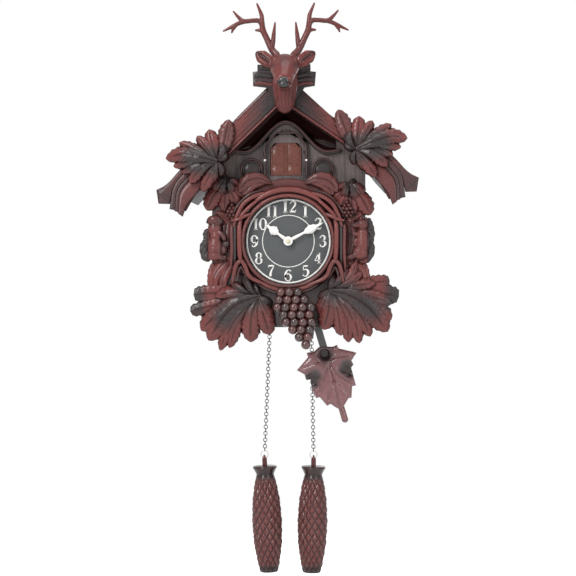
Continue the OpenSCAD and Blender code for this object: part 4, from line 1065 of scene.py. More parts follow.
def round_dial(radius, angle, y):
    """Places at a distance from the dial's middle and at angles in radians."""
    return points(DIAL_X + radius * np.cos(angle), y, DIAL_Z + radius * np.sin(angle))


def sill_band():
    """Raised band under the doors that follows the top of the dial's ring."""
    turn = np.radians(np.linspace(36, 144, 90))
    inner, outer = (round_dial(RING_OUT + step, turn, 0)[:, [0, 2]] for step in (1.5, 12.5))
    return [strip(inner, outer, BOARD_Y + 0.5, BOARD_Y - 4.5, 90, 1.6, 0.3)]


def arch_path(centre, radius, leg, y):
    """Round arch on two legs, in front of the board."""
    turn = np.linspace(0, np.pi, 60)
    x = np.concatenate([[radius], radius * np.cos(turn), [-radius]])
    z = np.concatenate([[-leg], radius * np.sin(turn), [-leg]])
    return points(centre[0] + x, y, centre[1] + z)


def window_arches():
    """Two false windows: a plain panel inside a pair of rounded arches."""
    low, high = corners("window_arches")
    skins = []
    for s in (-1, 1):
        centre = ((high[0] + low[0]) / 2 + s * ((high[0] - low[0]) / 2 - 13.5), low[2] + 11)
        inner = arch_path(centre, 9.6, 9, low[1] + 3.6)
        skins += [tube(arch_path(centre, 12.2, 9, low[1] + 2.6), 1.5, 14, smoke=0.75, groove=0.25),
                  tube(inner, 1.1, 12, smoke=0.9, groove=0.1),
                  slab(inner[:, [0, 2]], BOARD_Y, low[1] + 5.2, 0.6, smoke=1.0)]
    return skins


DOORWAY_HALF = (corners("doorway_frame")[1][0] - corners("doorway_frame")[0][0]) / 2 - 1.5


def doorway_frame():
    """Eight-sided frame round the doorway: a rounded band with a quirk inside it."""
    low, high = corners("doorway_frame")
    half, top = DOORWAY_HALF, high[2] - low[2]
    rise = np.array([(half, 1.5), (half, 0.7 * top), (half - 4.5, 0.8 * top), (11.8, top - 1.6)])
    x, z = np.vstack([rise * (-1, 1), rise[::-1]]).T
    path = points(DOOR_X + x, low[1] + 3.2, low[2] + z)
    path = np.vstack([divided(path, 12), path[-1:]])
    skins = [tube(path, 1.5, 12, flat=2.0, smoke=0.85, side_first=FRONT)]
    for s in (-1, 1):
        inside, outside = ([(DOOR_X + s * x, low[2] + z * top) for x, z in rows] for rows in (
            ((half - 2.5, 0.5), (half - 2, 0.72), (half - 7.5, 0.84), (10, 0.95)),
            ((half + 3, 0.5), (half + 3.2, 0.7), (half - 0.5, 0.9), (12, 1.06))))
        skins.append(strip(inside, outside, BOARD_Y + 0.4, BOARD_Y - 0.8, 40, 0.3, 0.9))
        for z in (low[2] + 12, low[2] + 33):
            post = points(DOOR_X + s * (half - 2.8), low[1] + 2.2, z + np.array([-2.2, 2.2]))
            skins.append(tube(spline(post, 14), 1.0, 12, smoke=1.0, groove=0.5))
    return skins


def door_studs():
    """Two pale studs, one on each jamb."""
    y, z = corners("doorway_frame")[0][1] + 1.0, SILL_Z + 17.5
    return [ball((DOOR_X + s * DOORWAY_HALF, y, z), (1.5, 1.2, 1.5), 10, 20) for s in (-1, 1)]


def door_panels(node):
    """Two raised panels on a door leaf, the upper one with its outer corner cut off like the
    leaf's own."""
    low, high = corners(node)
    edge, joint = 2.4, low[2] + 0.36 * (high[2] - low[2])
    left, right, top = low[0] + edge, high[0] - edge, high[2] - edge
    cut = 0.3 * (right - left)
    lower = [(left, low[2] + edge), (right, low[2] + edge), (right, joint - 1.2), (left, joint - 1.2)]
    if node == "door_left":
        crown = [(right, top), (left + cut, top), (left, top - cut)]
    else:
        crown = [(right, top - cut), (right - cut, top), (left, top)]
    upper = [(left, joint + 1.2), (right, joint + 1.2), *crown]
    return [slab(outline, low[1] + 0.4, low[1] - 0.35, 0.5) for outline in (lower, upper)]


SILL_PETALS = [
    ([(-10, -5), (5, -8), (16, -20)], 6.5, (0.5, 0.7, 0.6, 0.4)),
    ([(-18, -6.5), (-4, -0.5), (11, -4), (21, -17)], 8.6, (0.5, 0.9, 1, 0.6),
     {"foot": 0.2, "veins": 0.3, "rib": 0.5, "blunt": 0.7})]


def sill_leaves():
    """A drooping leaf under each window."""
    low, high = corners("sill_leaves")

    def tone(x, z):
        return np.full_like(x, 0.25)

    return [part for s in (-1, 1) for part in
            spray(SILL_PETALS, (s * 38, DIAL_Z + 75), s, high[1], high[1] - low[1] - 0.2, tone)]


# ---- dial

# Digits in hundredths of their height. Bowls are (x, z, half width, half height, stroke width
# and how much of it is lost above and below); lines are points of (x, z, stroke width).
BOWLS = {"0": [(0, 50, 27, 50, 17, 11)], "8": [(0, 75, 20, 24, 14, 8), (0, 27, 25, 26, 16, 10)],
         "9": [(2, 68, 25, 32, 16, 10)]}
DOT = [(-19, 80, 15), (-18, 78, 15)]
LINES = {
    "1": [[(0, 2, 16), (0, 98, 16)], [(-17, 3, 6), (17, 3, 6)], [(-17, 97, 6), (17, 97, 6)]],
    "2": [DOT, [(-22, 78, 8), (-14, 95, 5), (4, 99, 8), (22, 88, 15), (20, 64, 14), (0, 38, 9),
                (-24, 8, 6)], [(-26, 6, 8), (0, 9, 12), (24, 5, 10)], [(24, 5, 8), (28, 24, 4)]],
    "3": [DOT, [(-22, 80, 8), (-10, 97, 5), (8, 98, 8), (20, 80, 15), (14, 60, 10), (-4, 54, 5)],
          [(-4, 54, 5), (18, 46, 10), (26, 26, 16), (12, 4, 10), (-10, 1, 5), (-24, 16, 9)],
          [(-20, 20, 15), (-19, 22, 15)]],
    "4": [[(10, 2, 15), (10, 98, 13)], [(8, 96, 6), (-28, 32, 5)], [(-30, 30, 6), (28, 30, 6)],
          [(-6, 3, 6), (26, 3, 6)]],
    "5": [[(-19, 96, 5), (4, 92, 12), (23, 96, 6)], [(-18, 96, 6), (-19, 52, 5)],
          [(-19, 54, 4), (0, 64, 6), (20, 54, 12), (25, 30, 17), (12, 6, 10), (-8, 1, 5),
           (-22, 14, 9)], [(-19, 19, 14), (-18, 20, 14)]],
    "7": [[(-26, 93, 10), (0, 95, 12), (27, 94, 8)], [(-25, 96, 6), (-27, 76, 3)],
          [(26, 94, 5), (6, 60, 9), (-6, 28, 15), (-7, 2, 18)]],
    "9": [[(27, 68, 14), (25, 38, 15), (12, 10, 10), (-8, 1, 5), (-20, 10, 9)],
          [(-17, 17, 14), (-16, 15, 14)]]}


def strokes_of(digit):
    """Strokes of a serif digit, a 6 being a 9 turned over: arrays of (x, z, width)."""
    if digit == "6":
        return [row * (-1, -1, 1) + (0, 1, 0) for row in strokes_of("9")]
    turn = np.linspace(0, 2 * np.pi, 13)
    bowls = [points(x + wide * np.cos(turn), z + tall * np.sin(turn),
                    stroke - slim * np.abs(np.sin(turn)))
             for x, z, wide, tall, stroke, slim in BOWLS.get(digit, ())]
    return [np.array(row) / 100 for row in bowls + LINES.get(digit, [])]


def ribbon(line, widths, back, thick):
    """Flat printed stroke: a low rectangle swept along a curve in the x-z plane."""
    path = spline(line, 8 * len(line) if len(line) > 2 else 6)
    half = aside_of(path) * (spread(widths, len(path)) / 2)[:, None]
    section = [(path + half, back), (path + half, back - thick), (path - half, back - thick),
               (path - half, back)]
    return skin(np.stack([points(edge[:, 0], y, edge[:, 1]) for edge, y in section], 1))


def numerals():
    """The numbers 1 to 12, upright, round the dial."""
    height, place, boldness = 13.4, 41 / 51 * DIAL_R, 1.4
    skins = []
    for hour in range(1, 13):
        angle, text = math.radians(90 - 30 * hour), str(hour)
        middle = np.array([DIAL_X + place * math.cos(angle), DIAL_Z + place * math.sin(angle)])
        gap = 0.38 if text == "11" else 0.43
        shifts = (-0.62 * gap, 0.9 * gap) if len(text) == 2 else (0.0,)
        skins += [ribbon(middle + height * (row[:, :2] + (shift, -0.5)),
                         boldness * height * row[:, 2], DIAL_Y, 0.28)
                  for digit, shift in zip(text, shifts) for row in strokes_of(digit)]
    return skins


def flat_ring(radius, width, thick):
    """Printed circle: a low rectangle turned about the dial's middle."""
    inner, outer = radius - width / 2, radius + width / 2
    size, depth = np.array([(inner, 0), (inner, -thick), (outer, -thick), (outer, 0), (inner, 0)]).T
    return skin(round_dial(size, full_turn(160)[:, None], DIAL_Y + depth), loop=True)


def dial_rings():
    """White outer ring and thin inner ring, printed on the dial."""
    return [flat_ring(DIAL_R - 1.2, 2.1, 0.5), flat_ring(31 / 51 * DIAL_R, 0.95, 0.25)]


def closed_tube(path, first, second, sides, smoke=0.0):
    """Tube along a closed curve: each ring is the ellipse that two arrows span there."""
    angle = full_turn(sides)[:, None]
    rings = path[:, None] + np.cos(angle) * first[:, None] + np.sin(angle) * second[:, None]
    return skin(rings, smoke, loop=True)


def ring_plate(front, back):
    """Rounded seat of the vines: a closed band between the dial's rim and an outline, sunk at
    both edges. The outline is upright beside the dial up to the straight angle and eases over
    the given turn to a round crown above and below."""
    straight, easing = math.radians(18), math.radians(26)
    angle = full_turn(320)
    fold = np.arcsin(np.abs(np.sin(angle)))
    share = smooth(straight, straight + easing, fold)
    reach = 67.5 / np.maximum(np.cos(fold), 0.3) * (1 - share) + (DIAL_R + 14) * share
    rows = [(DIAL_R + 0.6, back), (DIAL_R + 0.6, front + 8.5), (DIAL_R + 2.0, front + 6.2),
            (DIAL_R + 6, front + 7.4), (0.9 * reach, front + 9.0), (reach, front + 12.0),
            (reach, back)]
    radius = np.stack([np.broadcast_to(size, reach.shape) for size, _ in rows], -1)
    rings = round_dial(radius, angle[:, None], np.array([y for _, y in rows]))
    # Staining and painted shade towards the outer edge, under the stems.
    return skin(rings, 0.55 + 0.3 * smooth(DIAL_R + 3, DIAL_R + 8, radius),
                0.35 * smooth(DIAL_R + 4, DIAL_R + 8, radius), loop=True)


def arc(radius, first, last, front, size, tone, flat=1.0):
    """Stem that follows the dial from one angle to another, thinner at its ends."""
    path = round_dial(radius, np.radians(np.linspace(first, last, 110)), front)
    slim = 1 - 0.65 * np.linspace(-1, 1, 110) ** 6
    return tube(path, size * slim, 18, flat=flat, smoke=tone, side_first=FRONT)


def stem(rows, front, size, tone, s):
    """Stem through points given sideways, in front and up from the dial's middle."""
    path = spline([(DIAL_X + s * x, front - y, DIAL_Z + z) for x, y, z in rows], 70)
    return tube(path, size * (1 - 0.55 * np.linspace(-1, 1, 70) ** 4), 16, smoke=tone)


RING_ARCS = [(10.2, 47, 133, 5.2, 3.6, -0.3, 1.1), (6, 38, 142, 6.6, 1.3, 0.9, 1),
             (7.6, -132, -48, 6.2, 2.6, 0.15, 1), (11.4, -126, -54, 8.2, 2.2, 0.8, 1)]
RING_STEMS = [
    ([(54, 0, 30), (57.4, 1, 20), (57.8, 1.4, 0), (57, 1, -18), (55, 0, -27)], 4.6, 2.9, -0.2),
    ([(59, 0, 27), (62.8, 1, 16), (63, 1, -6), (63.4, 0, -30)], 6.6, 2.2, 1),
    ([(65, 0, 25), (67.3, 1, 14), (67, 1, -8), (68, 0, -36)], 7, 2.1, 0.3),
    ([(22, 0, 57.5), (38, 1, 54), (52, 2, 45), (60, 2.4, 31), (65, 1, 16)], 4.8, 2.6, 0.15),
    ([(34, 0, 50), (44, 1.5, 42), (54, 2, 32), (60, 1, 24)], 4.4, 2.3, -0.3),
    ([(43, 0, 33), (52, 2.4, 29), (60, 3.2, 25.5), (68, 1.5, 24)], 4.2, 2.2, 0.1),
    ([(30, -1, 60), (46, -0.6, 55), (58, 0, 44), (66, 0, 32)], 6.8, 2.4, 0.75),
    ([(66.5, -1, -50), (64, 0.8, -38), (61, 1.8, -28), (55.5, 2.4, -24), (51, 1.8, -30),
      (46.5, 0.8, -41), (38, 0, -47), (24, -1, -52)], 4.8, 2.7, 0.2),
    ([(61, -1, -48), (59.5, 0, -37), (56, 0.6, -31), (52.5, 0, -36), (48, -1, -46)], 6.2, 1.9, 0.7)]


def dial_frame():
    """Vine ring: a rim round the dial, arcs over its top and foot, upright stems at its sides
    and stems that cross or loop over at the four corners, all on one plate. Rows of arcs are
    the distance beyond the dial, two angles, depth, radius, smoke and flatness; rows of stems
    are the course, depth, radius and smoke."""
    low, high = corners("dial_frame")
    front = low[1]
    turn = full_turn(300)
    rim_flat, rim_half = 1.5, 2.5
    outwards = points(np.cos(turn), 0, np.sin(turn))
    skins = [ring_plate(front, high[1]),
             closed_tube(round_dial(DIAL_R + 3.1, turn, front + 6.4), rim_flat * rim_half * FRONT[None],
                         rim_half * outwards, 18, 0.3 - 0.25 * np.sin(turn)[:, None])]
    skins += [arc(DIAL_R + beyond, first, last, front + depth, *look)
              for beyond, first, last, depth, *look in RING_ARCS]
    return skins + [stem(rows, front + depth, size, tone, s) for s in (-1, 1)
                    for rows, depth, size, tone in RING_STEMS]


def hand(node, length, angle_deg, wide):
    """White pierced-leaf hand: a thin blade with a wavy outline and a low ridge along it."""
    share = np.linspace(0, 1, 60)
    stalk = (0.34 + 0.08 * np.sin(3 * np.pi * share)) * (1 - smooth(0.86, 1, share))
    waves = 0.22 * np.abs(np.sin(9 * np.pi * share)) * bell(share - 0.62, 0.2)
    blade = bell(share - 0.62, 0.17) + waves
    half = np.maximum(wide * np.maximum(stalk, blade) * (1 - share ** 10), 0.12)
    angle = math.radians(angle_deg)
    ahead = np.array([math.cos(angle), 0, math.sin(angle)])
    aside = np.array([-math.sin(angle), 0, math.cos(angle)])
    spot = np.array([DIAL_X, corners(node)[1][1], DIAL_Z]) + ahead * (share * length)[:, None]
    section = [(-1, 0), (-1, -0.3), (0, -0.6), (1, -0.3), (1, 0)]
    return skin(np.stack([spot + aside * (a * half)[:, None] + (0, depth, 0)
                          for a, depth in section], 1))


def hubs():
    """Domed centre of the minute hand's hub and the cream cap on it."""
    low, high = corners("minute_hand")
    hub = lathe([(5.6, 0), (5.6, -0.7), (5.0, -1.1)], (DIAL_X, high[1], DIAL_Z), 48)
    cap = lathe([(2.6, 0), (2.6, -0.9), (2.2, -1.5), (1.2, -1.9)], (DIAL_X, low[1] + 2.0, DIAL_Z), 40)
    return [hub], [cap]


# ---- carved leaves of the case

SHOULDER_PETALS = [
    ([(-2, 0), (-14, -8), (-21, -15)], 7, (0.5, 0.6, 0.5, 0.35)),
    ([(2, 0), (14, -12), (24, -31)], 10.5, (0.5, 0.65, 0.55, 0.35), {"lean": -0.1}),
    ([(-1, -2), (-9, -16), (-12, -28)], 8, (0.5, 0.65, 0.55, 0.35)),
    ([(0, -2), (2, -18), (2, -33)], 8.5, (0.5, 0.55, 0.5, 0.35)),
    ([(0, 6), (9, 1), (15, -10)], 7.4, (0.75, 0.95, 0.8, 0.45), {"lean": -0.1}),
    ([(0, 6), (4, -3), (6, -15)], 7, (0.8, 1, 0.85, 0.45)),
    ([(0, 6), (-5, -2), (-7, -13)], 6.6, (0.8, 0.98, 0.8, 0.45)),
    ([(0, 6), (-9, 3), (-13, -4)], 5.6, (0.7, 0.9, 0.75, 0.4)),
    ([(0, 2), (3, 8), (4, 13)], 4.4, (0.7, 0.85, 0.7, 0.4), {"smoke": 0.4})]
BERRIES = [(0, 0, 2.8), (4.4, 0.8, 2.4), (-4.4, 0.6, 2.4), (2.2, 4.3, 2.4), (-2.4, 4.2, 2.3),
           (2.3, -4.2, 2.5), (-2.2, -4.3, 2.4), (0, 8, 2.1), (6.4, -3.6, 2.1), (-6.5, -3.4, 2.1),
           (0.2, -8.3, 2.2), (4.6, -7.6, 1.9), (-4.6, -7.6, 1.9)]


def shoulder_leaf(s):
    """Hanging leaf at the top corner of the case, with berries on it."""
    low, high = corners(of_side("shoulder_leaf", s))
    hub = np.array([s * 74, DIAL_Z + 65 - 3 * s])
    thick = high[1] - low[1]
    middle = np.array([hub[0] - s * (4 if s > 0 else 7), high[1] - thick * 0.66,
                       hub[1] - (24 if s > 0 else 33)])
    leaf = spray(SHOULDER_PETALS, hub, s, high[1], thick,
                 near_line([hub + (0, 6), hub + (0, -1)], 3, 15))
    return leaf + [ball(middle + (x, 0.35 * abs(x) + 0.1 * abs(z), z), (r, r * 1.3, r), 8, 14,
                        smoke=0.35, groove=0.1) for x, z, r in BERRIES]


BASE_HUB = {-1: (-34, 38), 1: (49, 45)}
BASE_RIB = {-1: [(-2, 0), (24, -9), (42, -24), (62, -54)], 1: [(0, -1), (25, -7), (48, -22), (70, -50)]}
BASE_PETALS = {
    -1: [([(20, 1), (50, 3), (80, 1)], 10.5, (0.3, 0.38, 0.35, 0.3), {"blunt": 0.18, "rib": 0.5}),
         ([(20, -4), (52, -11), (84, -19)], 9, (0.3, 0.4, 0.35, 0.3), {"blunt": 0.2, "rib": 0.5}),
         ([(14, -10), (27, -34), (37, -63)], 8, (0.5, 0.62, 0.5, 0.3)),
         ([(20, -12), (37, -36), (48, -66)], 8, (0.5, 0.6, 0.5, 0.3)),
         ([(10, 1), (34, 4), (54, -1)], 8.5, (0.6, 0.85, 0.75, 0.45), {"lean": -0.15}),
         ([(28, -12), (52, -24), (71, -42)], 12, (0.6, 0.85, 0.7, 0.35), {"lean": -0.1}),
         ([(10, -8), (30, -30), (43, -56)], 9.5, (0.7, 0.9, 0.65, 0.35), {"lean": 0.1, "rib": 0.5}),
         ([(3, -5), (10, -28), (11, -56)], 12, (0.7, 0.9, 0.7, 0.3), {"lean": 0.1}),
         ([(0, -4), (-5, -24), (-12, -47)], 11, (0.7, 0.85, 0.7, 0.35), {"lean": 0.1, "veins": 0.3}),
         ([(0, -2), (-8, -18), (-14, -31)], 8, (0.75, 0.9, 0.75, 0.4), {"lean": 0.15}),
         ([(0, -1), (-7, -7), (-14, -13)], 6.5, (0.75, 0.9, 0.75, 0.4), {"smoke": 0.4}),
         (BASE_RIB[-1], 15.5, (0.8, 1, 0.9, 0.35), {"rib": 1.3, "veins": 0.7, "foot": 0.3}),
         ([(12, 2), (25, 8), (36, 17)], 6, (0.7, 0.95, 0.8, 0.4), {"lean": 0.2, "smoke": 0.5}),
         ([(5, 1), (13, 9), (20, 24)], 6.2, (0.75, 1, 0.85, 0.4), {"lean": 0.2, "smoke": 1}),
         ([(0, 1), (5, 8), (8, 17)], 4.6, (0.75, 0.95, 0.8, 0.4), {"lean": 0.2, "smoke": 1})],
    1: [([(26, 4), (50, 8), (72, 11)], 8.5, (0.3, 0.36, 0.34, 0.3), {"blunt": 0.2, "rib": 0.4}),
        ([(24, 1), (52, -2), (83, -8)], 11.5, (0.3, 0.42, 0.36, 0.3), {"blunt": 0.18, "rib": 0.5}),
        ([(12, -12), (21, -34), (23, -63)], 8.5, (0.5, 0.62, 0.5, 0.3)),
        ([(16, -12), (30, -36), (36, -64)], 8.5, (0.5, 0.6, 0.5, 0.3)),
        ([(24, -12), (39, -34), (49, -56)], 8.5, (0.5, 0.66, 0.55, 0.3)),
        ([(14, 2), (38, 6), (55, 8)], 8.5, (0.6, 0.85, 0.75, 0.45), {"lean": -0.15}),
        ([(24, -2), (52, -9), (75, -16)], 10.5, (0.6, 0.82, 0.7, 0.35), {"lean": -0.1}),
        ([(32, -10), (56, -22), (74, -36)], 11.5, (0.6, 0.85, 0.7, 0.35), {"lean": -0.1}),
        ([(8, -6), (22, -24), (31, -44)], 10, (0.7, 0.92, 0.7, 0.4), {"lean": 0.1, "rib": 0.5}),
        ([(4, -5), (11, -30), (14, -55)], 9.5, (0.7, 0.85, 0.65, 0.3), {"lean": 0.1}),
        ([(1, -4), (-1, -26), (-7, -48)], 11.5, (0.7, 0.88, 0.7, 0.35), {"lean": 0.1, "veins": 0.3}),
        ([(0, -2), (-6, -16), (-12, -30)], 9, (0.75, 0.9, 0.75, 0.4), {"lean": 0.15}),
        ([(0, 0), (-6, -7), (-11, -14)], 7, (0.75, 0.9, 0.75, 0.4), {"lean": 0.1}),
        (BASE_RIB[1], 15.5, (0.8, 1, 0.9, 0.35), {"rib": 1.3, "veins": 0.7, "foot": 0.3}),
        ([(10, 3), (25, 14), (33, 35)], 6.6, (0.6, 0.85, 0.7, 0.4), {"lean": 0.2}),
        ([(8, 2), (26, 8), (40, 21)], 7.4, (0.7, 0.95, 0.8, 0.4), {"lean": 0.2}),
        ([(3, 2), (15, 12), (26, 26)], 7, (0.75, 1, 0.8, 0.4), {"lean": 0.2, "smoke": 0.2}),
        ([(0, 1), (4, 10), (6.5, 19)], 5.8, (0.75, 0.95, 0.8, 0.4), {"smoke": 0.4})]}


def base_leaf(s):
    """Large leaf at a lower corner: thin square-ended leaves behind, lobes that spring from a
    curved midrib over them, and pale curled lobes at the stem."""
    low, high = corners(of_side("base_leaf", s))
    hub = np.array([BASE_HUB[s][0], FLOOR_Z + BASE_HUB[s][1]])
    rib = [hub + (s * x, z) for x, z in BASE_RIB[s][:3]]
    middle = near_line(rib, 3, 27)

    def tone(x, z):
        far = s * (x - hub[0])
        return 1.05 * middle(x, z) + smooth(60, 74, far) * smooth(-30, -22, z - hub[1])

    return spray(BASE_PETALS[s], hub, s, high[1], (high[1] - low[1]) * 0.99, tone)


# ---- squirrels

SQUIRRELS = {
    -1: {"place": (-89.5, -4), "eye": (4.4, 13, 30.2), "collar": 23.5,
         "bodies": [((1.2, 7.8, 29.5), (9, 6, 5.6)), ((-4, 7, 27.5), (5, 4.4, 3.8)),
                    ((1.5, 7, 19), (8.6, 6, 9)), ((7.5, 8, 27.5), (4.8, 4.2, 4)),
                    ((2, 7.5, -4), (9.4, 7, 14.5)), ((3, 7, 11), (7.4, 6, 9)),
                    ((2, 7, -13), (9.6, 6.6, 6.8)), ((4, 7, 34.4), (2.4, 1.8, 2.2)),
                    ((12.5, 6, -6), (4.2, 4.6, 6.5))],
         "limbs": [([(5, 9, 16), (11, 11.5, 11), (14.5, 10, 4.5)], 2.9),
                   ([(4, 6, 14), (11, 6, 10), (16, 6, 8)], 2.4),
                   ([(4, 9, -13), (11, 9, -16), (16, 8, -15)], 3), ([(2, 5, -17), (12, 5, -20)], 2.6)],
         "tail": [(-3, 5, -18, 4.5), (-9.5, 5, -14, 5.8), (-11.5, 5, -3, 5.6), (-8, 5, 5, 4.6),
                  (-8.5, 5, 13, 4.6), (-6, 5, 19, 3)],
         "nut": [((15.4, 8.5, 0.5), (4.8, 4.2, 4))]},
    1: {"place": (88, -3), "eye": (3.2, 13.2, 24.2), "collar": 16.5,
        "bodies": [((-0.5, 8, 23), (7.6, 6.2, 6.2)), ((8, 8, 21.5), (4.8, 3.6, 3)),
                   ((-1, 7.5, 2), (8.8, 7.2, 14.5)), ((-1, 7, 12), (7.2, 6.2, 8)),
                   ((2, 7.5, -11), (9.8, 7, 8.6)), ((-5, 7, 28.6), (2.4, 1.8, 3)),
                   ((17, 7, -17), (3.6, 3.6, 3.4))],
        "limbs": [([(2, 10, 12), (8, 11, 11), (11, 10, 14.5)], 2.5),
                  ([(3, 8, 6), (8, 9, 2), (7, 9, -4)], 2.6),
                  ([(4, 10, -9), (10, 10, -15), (17, 9, -17)], 3.2), ([(0, 5, -17), (10, 5, -20)], 2.8)],
        "tail": [(4, 4, -21, 2.4), (-6, 5, -19, 4.2), (-11, 5, -9, 4.6), (-10, 5, 2, 4.2),
                 (-11, 5, 12, 4.6), (-9.5, 5, 22, 4.2), (-7.5, 5, 31, 2.6)],
        "nut": []}}


def squirrel(s):
    """Squirrel climbing beside the dial: the left one holds a nut, the right one looks down
    the case. Built of rounded bodies that are fused, with fur ruffled along the tail. Returns
    the mesh and the skins of the eye and of the nut."""
    node, parts = of_side("squirrel", s), SQUIRRELS[s]
    origin = np.array([parts["place"][0], corners(node)[1][1], DIAL_Z + parts["place"][1]])

    def at(x, depth, z):
        return origin + (-s * x, -depth, z)

    path = spline([at(*row[:3]) for row in parts["tail"]], 40)
    skins = [*(ball(at(*spot), size) for spot, size in parts["bodies"]),
             *(tube(spline([at(*spot) for spot in line], 20), radius, 14)
               for line, radius in parts["limbs"]),
             tube(path, spread([row[3] for row in parts["tail"]], 40), 20, flat=0.8,
                  side_first=FRONT)]

    def push(place, normal):
        spot = (place - origin) * (-s, 1, 1)
        gap = np.linalg.norm(place[:, None, [0, 2]] - path[None, :, [0, 2]], axis=2)
        on_tail = smooth(5.5, 8, -spot[:, 0])
        fur = 0.30 * np.sin(gap.argmin(1) * 1.3 - gap.min(1) * 1.5) * on_tail
        return fur + 0.12 * np.sin(spot[:, 2] * 2.4 + spot[:, 0]) * (1 - on_tail)

    def shading(place, normal):
        x, y, z = ((place - origin) * (-s, 1, 1)).T
        smoke = 1.1 * smooth(6.0, 8.5, -x) + 0.5 * smooth(5, 10, x) + 0.35 * smooth(17, 26, z)
        # Painted shade in the lines where tail, head and hind leg meet the body, and towards the board behind.
        dent = bell(x + 6.8, 0.9) + 0.9 * bell(z - parts["collar"], 0.9)
        dent = dent + 0.7 * bell(z + 6 + 0.8 * x, 0.7) * smooth(0, 2, x)
        return smoke, 0.75 * np.clip(dent, 0, 1) + 0.7 * smooth(-3.5, -1, y)

    mesh = melted(node, skins, 0.6, 3, shading, push)
    nut = [ball(at(*spot), size, 12, 20, smoke=0.8) for spot, size in parts["nut"]]
    return mesh, [ball(at(*parts["eye"]), (1.0, 0.8, 1.0), 8, 12)], nut


BLADES = [([(22, -6), (23, 14), (21, 38)], 5, (0.6, 0.7, 0.6, 0.4)),
          ([(20, 0), (19, 20), (8, 36), (-5, 47)], 8, (0.7, 1, 0.9, 0.5), {"lean": 0.2}),
          ([(6, -4), (9, 14), (3, 30), (-6, 42)], 6.5, (0.7, 0.9, 0.8, 0.5), {"lean": 0.2}),
          ([(10, 34), (18, 60), (17, 92)], 8, (0.5, 0.6, 0.6, 0.5), {"foot": 0.8}),
          ([(1, 42), (6, 64), (3, 92)], 8.5, (0.6, 0.7, 0.6, 0.5), {"foot": 0.7, "smoke": 0.3}),
          ([(-2, 84), (8, 92), (18, 98)], 6, (0.5, 0.7, 0.6, 0.4))]


def blades():
    """Broad blades carved low on the front board, under and behind each squirrel."""
    def tone(x, z):
        return 0.1 + 0.15 * np.sin(x * 0.3 + z * 0.2)

    return [part for s in (-1, 1) for part in
            spray(BLADES, (s * 70, FLOOR_Z + 40), s, BOARD_Y + 0.4, 5.6, tone)]


# ---- grapes

GRAPE_ROWS = (3, 4, 5, 4, 4, 3, 2, 1)


def grape_bunch():
    """Bunch of grapes: balls in staggered rows that bulge forward in the middle, in front of a few darker ones
    that fill the gaps and of a dark board, both painted shade between the grapes."""
    back = corners("grape_bunch")[1][1]
    radius, pitch, fall = 5.7, 9.9, 8.9
    skins = []
    for i, count in enumerate(GRAPE_ROWS):
        for k in range(count):
            x = 2 + 2.8 * i + (k - (count - 1) / 2) * pitch
            y = -80 - 5 * math.sin(math.pi * (k + 1) / (count + 1))
            skins.append(ball((x, y, FLOOR_Z + 42 - fall * i), radius, 16, 26,
                              smoke=0.2 + 0.7 * ((3 * i + 2 * k) % 5) / 4))
    # Painted shade: darkened grapes fill the gaps behind the bunch.
    skins += [ball((-8 + 9 * k, -75, FLOOR_Z + 38 - 9 * k), radius * 0.95, 14, 22, smoke=1.0,
                   groove=0.4) for k in range(5)]
    outline = [(-10, 46), (16, 46), (26, 30), (32, 4), (30, -12), (18, -20), (8, -2), (-12, 26)]
    return skins + [slab([(x, FLOOR_Z + z) for x, z in outline], back, back - 5, 1.2, smoke=1.0,
                         groove=0.5)]


# ---- pendulum

PENDULUM_OUTLINE = [(34, 12.5), (27.5, 2.5), (30, -2), (27, -6), (33, -27.5), (28.3, -28.5),
                    (27.6, -42.5), (24, -43), (15, -58), (8, -54), (2, -50), (-2, -52.5),
                    (-11, -42), (-15.5, -43.2), (-21, -31), (-22.2, -20.5), (-27.5, -21),
                    (-29.5, -14.5), (-39, -9.3), (-25.5, 6.5), (-27, 12), (-18, 13.6),
                    (-12, 19), (-2, 19.5), (5, 19.5), (10, 22), (12, 17.5)]
PENDULUM_GROOVES = [([(1, -1), (6, -20), (10.5, -38), (14, -53)], 4, 3.4),
                    ([(-1, -4), (-6, -20), (-11, -36)], 3.4, 2.4),
                    ([(6.5, -22), (2, -34), (-1, -45)], 3.2, 2.2),
                    ([(3, -5), (14, -16), (28, -25)], 3.4, 2.8),
                    ([(8, -23), (16, -29), (23, -37)], 3, 2),
                    ([(-13, 1.5), (-24, -3), (-37, -9)], 3.2, 2.4),
                    ([(5, 5.5), (14, 8), (25, 9)], 3.2, 2.4)]
PENDULUM_HOLLOWS = [(-17, -16, 7.5, 5.2), (-19, -25, 6.5, 4.2), (-24, -19, 6, 4), (22, -4, 7.5, 5.2),
                    (25.5, -12, 6.5, 4.2), (18, -9, 5, 3), (-4, 9, 8, 5.5), (-6, 12, 6, 4)]
REST_TILT = math.radians(16.5)
BOSS_DROP = 154.0


def pendulum_axis():
    """The pendulum's direction at rest and the middle of its leaf's boss."""
    down = np.array([math.sin(REST_TILT), 0, -math.cos(REST_TILT)])
    return down, PIVOT + down * BOSS_DROP


def pendulum_leaf():
    """Vine leaf on the rod: crisp veins, dark hollows beside its side points and a scoop at the
    top where the rod goes in, with a short stalk."""
    front = corners("pendulum_leaf")[0][1]
    down, boss = pendulum_axis()
    back = PIVOT[1] + 3
    hub = (boss[0] + 3.8, boss[2] - 9.9)
    skins = [vine_leaf(PENDULUM_OUTLINE, hub, back, back - front - 0.5, PENDULUM_GROOVES,
                       PENDULUM_HOLLOWS)]
    stalk = spline([boss + down * d for d in (46, 66, 86)], 40)
    skins.append(tube(stalk, np.interp(np.linspace(0, 1, 40), [0, 0.4, 1], [3.4, 3.8, 4.1]), 20,
                      flat=0.9, smoke=0.2))
    return skins


# ---- weights

